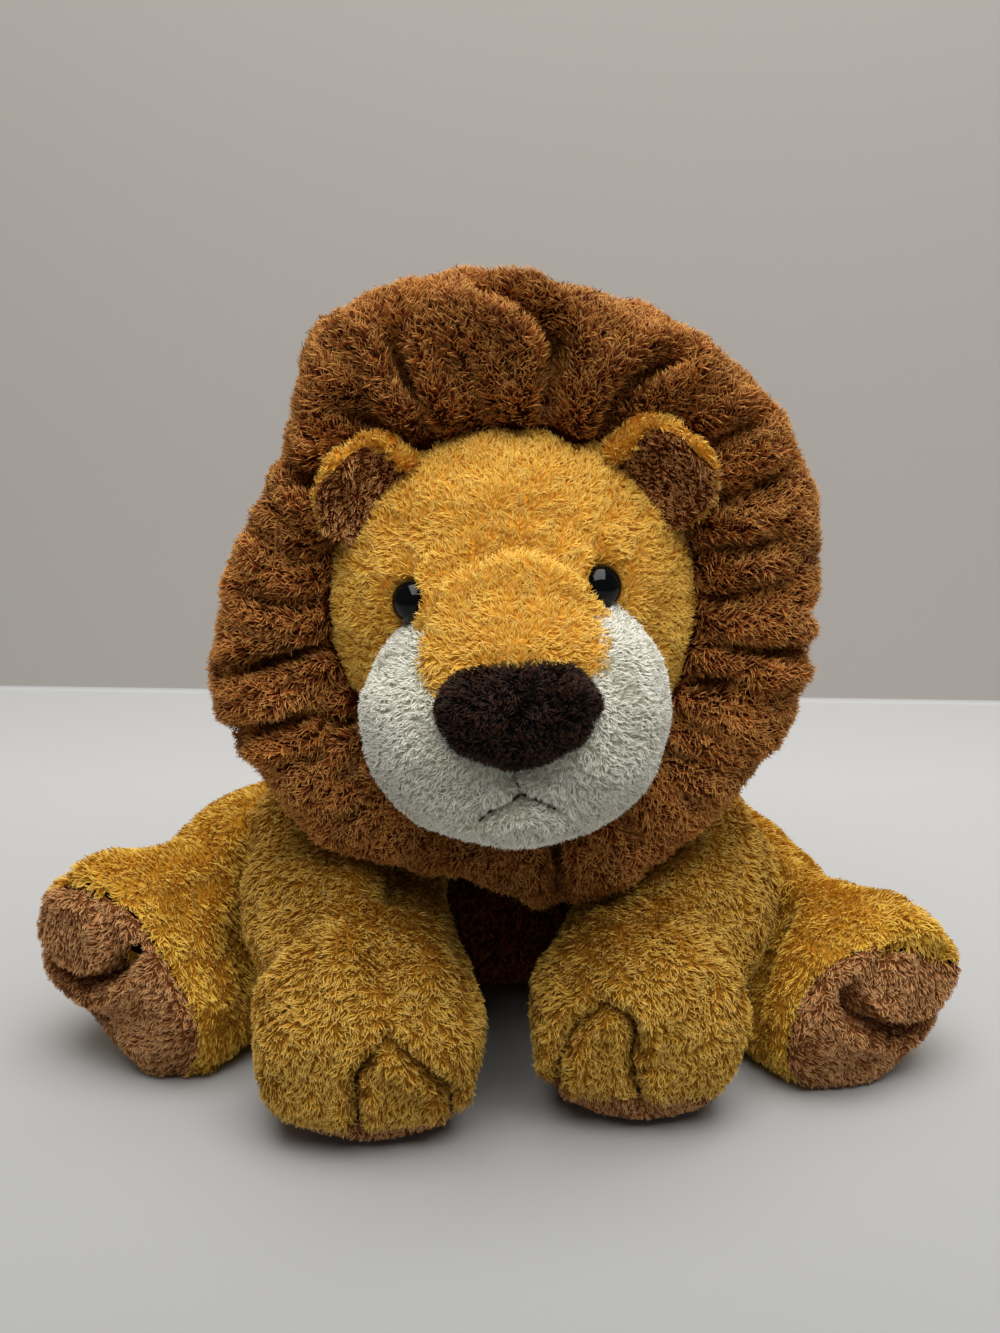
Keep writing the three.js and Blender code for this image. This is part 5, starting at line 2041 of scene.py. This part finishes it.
@dataclass
class Studio:
    """A plain pale floor that turns up into a plain wall, soft light from above, and the camera."""

    wall_distance: float = 0.298
    wall_turn: float = -3.3
    wall_height: float = 1.1
    cove: float = 0.002
    half_width: float = 2.5
    floor_reach: float = 3.0
    floor_shade: Shade = colour(211, 212, 212)
    # Painted shade: the floor card is darker near the camera than towards the wall.
    floor_near_shade: Shade = colour(162, 163, 163)
    floor_painted_shade_fade: tuple[float, float] = (-0.32, 0.16)
    wall_shade: Shade = colour(187, 183, 178)
    lamp_size: float = 1.0
    lamp_power: float = 14.3
    lamp_shade: Triple = (1.0, 0.985, 0.96)
    lamp_place: Triple = (0.06, -0.37, 1.02)
    lamp_target: Triple = (0.0, -0.06, 0.1)
    world_shade: Shade = (0.97, 0.98, 1.0, 1.0)
    world_light: float = 0.1
    world_seen: float = 0.72
    camera_place: Triple = (0.0, -0.459, 0.205)
    camera_pitch: float = 14.0
    focal_length: float = 40.51

    def build(self, shaders: Shaders) -> None:
        """Sets the stage, the light and the camera."""
        self.backdrop(shaders)
        self.light()
        self.camera()

    def backdrop(self, shaders: Shaders) -> None:
        """Lays the floor and the wall, which hides nothing from a camera behind it."""
        turn = math.tan(math.radians(self.wall_turn))
        profile = [(-self.floor_reach, 0.0)]
        for degrees in range(0, 91, 10):
            angle = math.radians(degrees)
            back = self.wall_distance - self.cove + self.cove * math.sin(angle)
            profile.append((back, self.cove - self.cove * math.cos(angle)))
        profile.append((self.wall_distance, self.wall_height))
        points, faces = [], []
        for row, (y, z) in enumerate(profile):
            lean = 1.0 if row else 0.0
            for x in (-self.half_width, self.half_width):
                points.append((x, y + lean * turn * x, z))
            if row:
                faces.append((2 * row - 2, 2 * row - 1, 2 * row + 1, 2 * row))
        floor = bpy.data.meshes.new("floor")
        floor.from_pydata(points, [], faces[:-1])
        wall = bpy.data.meshes.new("wall")
        wall.from_pydata(points[-4:], [], [(0, 1, 3, 2)])
        for mesh, shade in ((floor, self.floor_shade), (wall, self.wall_shade)):
            paint = Paint(mesh.name + " card")
            grain = paint.group(shaders.grain, Place=paint.place(), Scale=40.0, Low=0.75, High=0.85)
            paint.set(Base_Color=shade, Specular_IOR_Level=0.2, Roughness=grain.outputs["Value"])
            if mesh is wall:
                self.clear_from_behind(paint)
            else:
                self.paint_shade_on_floor(paint)
            linked(mesh.name, mesh, paint.material)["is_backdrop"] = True

    def paint_shade_on_floor(self, paint: Paint) -> None:
        """Paints shade on the floor card: darker on the camera's side, growing lighter towards the wall.
        """
        along = paint.node("SeparateXYZ", Vector=paint.place()).outputs["Y"]
        near, far = self.floor_painted_shade_fade
        fade = paint.node("MapRange", Value=along, From_Min=near, From_Max=far).outputs["Result"]
        paint.set(Base_Color=paint.blend(fade, self.floor_near_shade, self.floor_shade))

    @staticmethod
    def clear_from_behind(paint: Paint) -> None:
        """Lets a camera behind the wall see through it."""
        seen = paint.node("LightPath").outputs["Is Camera Ray"]
        facing = paint.node("NewGeometry").outputs["Backfacing"]
        mix = paint.node("MixShader", Fac=paint.product(seen, facing))
        paint.feed(mix.inputs[1], paint.shader.outputs["BSDF"])
        paint.feed(mix.inputs[2], paint.node("BsdfTransparent").outputs["BSDF"])
        paint.feed(paint.tree.nodes["Material Output"].inputs["Surface"], mix.outputs["Shader"])

    def light(self) -> None:
        """Hangs a softbox overhead and in front, and gives the room its own dim light."""
        data = bpy.data.lights.new("overhead softbox", "AREA")
        data.shape = "SQUARE"
        data.size = self.lamp_size
        data.energy = self.lamp_power
        data.color = self.lamp_shade
        lamp = bpy.data.objects.new(data.name, data)
        lamp.location = self.lamp_place
        aim = Vector(self.lamp_target) - Vector(self.lamp_place)
        lamp.rotation_euler = aim.to_track_quat("-Z", "Y").to_euler()
        bpy.context.scene.collection.objects.link(lamp)
        world = bpy.data.worlds.new("room")
        bpy.context.scene.world = world
        world.use_nodes = True
        graph, back = Graph(world.node_tree), world.node_tree.nodes["Background"].inputs
        seen = graph.node("LightPath").outputs["Is Camera Ray"]
        limits = {"To_Min": self.world_light, "To_Max": self.world_seen}
        graph.feed(back["Color"], self.world_shade)
        graph.feed(back["Strength"], graph.node("MapRange", Value=seen, **limits).outputs["Result"])

    def camera(self) -> None:
        """Sets the camera at the photograph's angle."""
        data = bpy.data.cameras.new("camera")
        data.lens = self.focal_length
        camera = bpy.data.objects.new("camera", data)
        camera.location = self.camera_place
        camera.rotation_euler = (math.radians(90 - self.camera_pitch), 0, 0)
        bpy.context.scene.collection.objects.link(camera)
        bpy.context.scene.camera = camera
        bpy.context.scene.view_settings.view_transform = "Standard"


def front_legs() -> dict[Side, FrontLeg]:
    """The front legs with their own sizes, and their toe and fold lines across and up them."""
    left = FrontLeg(
        Side.LEFT,
        run=85.0, middle=43.0, paw_spread=33.0, paw_width=57.5, sole=9.0,
        toes=(
            ((-26.4, 35.1), (-33.6, 24.7), (-34.4, 12.5), (-34.1, 7.0)),
            ((-26.4, 35.1), (-16.6, 24.7), (-12.6, 18.0), (-12.0, 8.0)),
        ),
        folds=(((-8.0, 76.0), (-17.0, 68.0), (-25.0, 60.0), (-27.5, 46.0)),),
    )
    right = FrontLeg(
        Side.RIGHT,
        run=75.5, middle=49.5, paw_spread=35.0, paw_width=54.0, sole=12.0,
        toes=(
            ((25.9, 39.3), (31.3, 35.9), (32.9, 30.0), (32.4, 24.0), (33.5, 16.0), (35.6, 8.0)),
            ((25.9, 39.3), (18.5, 32.0), (15.0, 22.0), (14.0, 10.0)),
        ),
        folds=(),
    )
    return {leg.side: leg for leg in (left, right)}


def hind_legs(torso: Torso, front: dict[Side, FrontLeg]) -> dict[Side, HindLeg]:
    """The hind legs with their own sizes, and their toe and fold lines across and up the foot.

    Args:
        torso: The torso that they lean on.
        front: The front legs that they lean on.

    Returns:
        The hind leg of each side.
    """
    left = HindLeg(
        Side.LEFT,
        splay=32.5,
        run=113.5,
        toe=((-23.0, 43.0), (-13.5, 33.0), (-3.5, 27.5), (8.0, 29.0), (15.0, 35.0)),
        folds=(((13.0, 51.5), (2.0, 54.5), (-9.0, 53.0), (-15.0, 47.0), (-15.0, 42.0)),),
        torso=torso,
        front=front[Side.LEFT],
        thigh=63.0, foot_width=52.0, foot_height=64.0, sink=0.0, bow=-6.5, droop=2.0,
        toe_length=5.5, haunch=1.4, heel=1.15, roll=0.2, sole_slope=0.23, sole_roll=0.0,
    )
    right = HindLeg(
        Side.RIGHT,
        splay=29.0,
        run=119.0,
        toe=((23.0, 34.0), (19.0, 25.5), (8.0, 19.0), (-3.0, 16.5), (-13.0, 19.0), (-19.0, 27.0)),
        folds=(((15.0, 38.5), (8.0, 44.0), (-2.0, 45.5)),),
        torso=torso,
        front=front[Side.RIGHT],
        thigh=55.0, foot_width=54.0, foot_height=54.0, sink=0.17, bow=5.0, droop=3.0,
        toe_length=6.0, haunch=1.1, heel=1.3, roll=0.12, sole_slope=0.55, sole_roll=0.29,
    )
    return {leg.side: leg for leg in (left, right)}


def main() -> None:
    """Builds the lion and its studio."""
    shaders = Shaders()
    tailor = Tailor(shaders)
    Studio().build(shaders)
    torso = Torso()
    front = front_legs()
    hind = hind_legs(torso, front)
    torso.build(tailor)
    Neck().build(tailor)
    Tail().build(tailor)
    for leg in (*front.values(), *hind.values()):
        leg.build(tailor)
    brushed_from = np.array([0.0, -62.0, -6.0])
    face = Face()
    face.build(tailor, brushed_from)
    Muzzle().build(tailor, brushed_from)
    Nose().build(tailor)
    ears = (
        Ear(Side.LEFT, lift=44.6, reach=44.3, radius=12.5),
        Ear(Side.RIGHT, lift=39.0, reach=47.3, radius=13.0),
    )
    for ear in ears:
        ear.build(tailor)
        Eye(ear.side, face).build(tailor)
    Mane(ears).build(tailor)
    log.info("%d strands in all", tailor.strands)
    boxes = {"cad": cad_box, "visual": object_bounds()}
    {key: [list(corner) for corner in box] for key, box in boxes.items()}


if __name__ == "__main__":
    main()
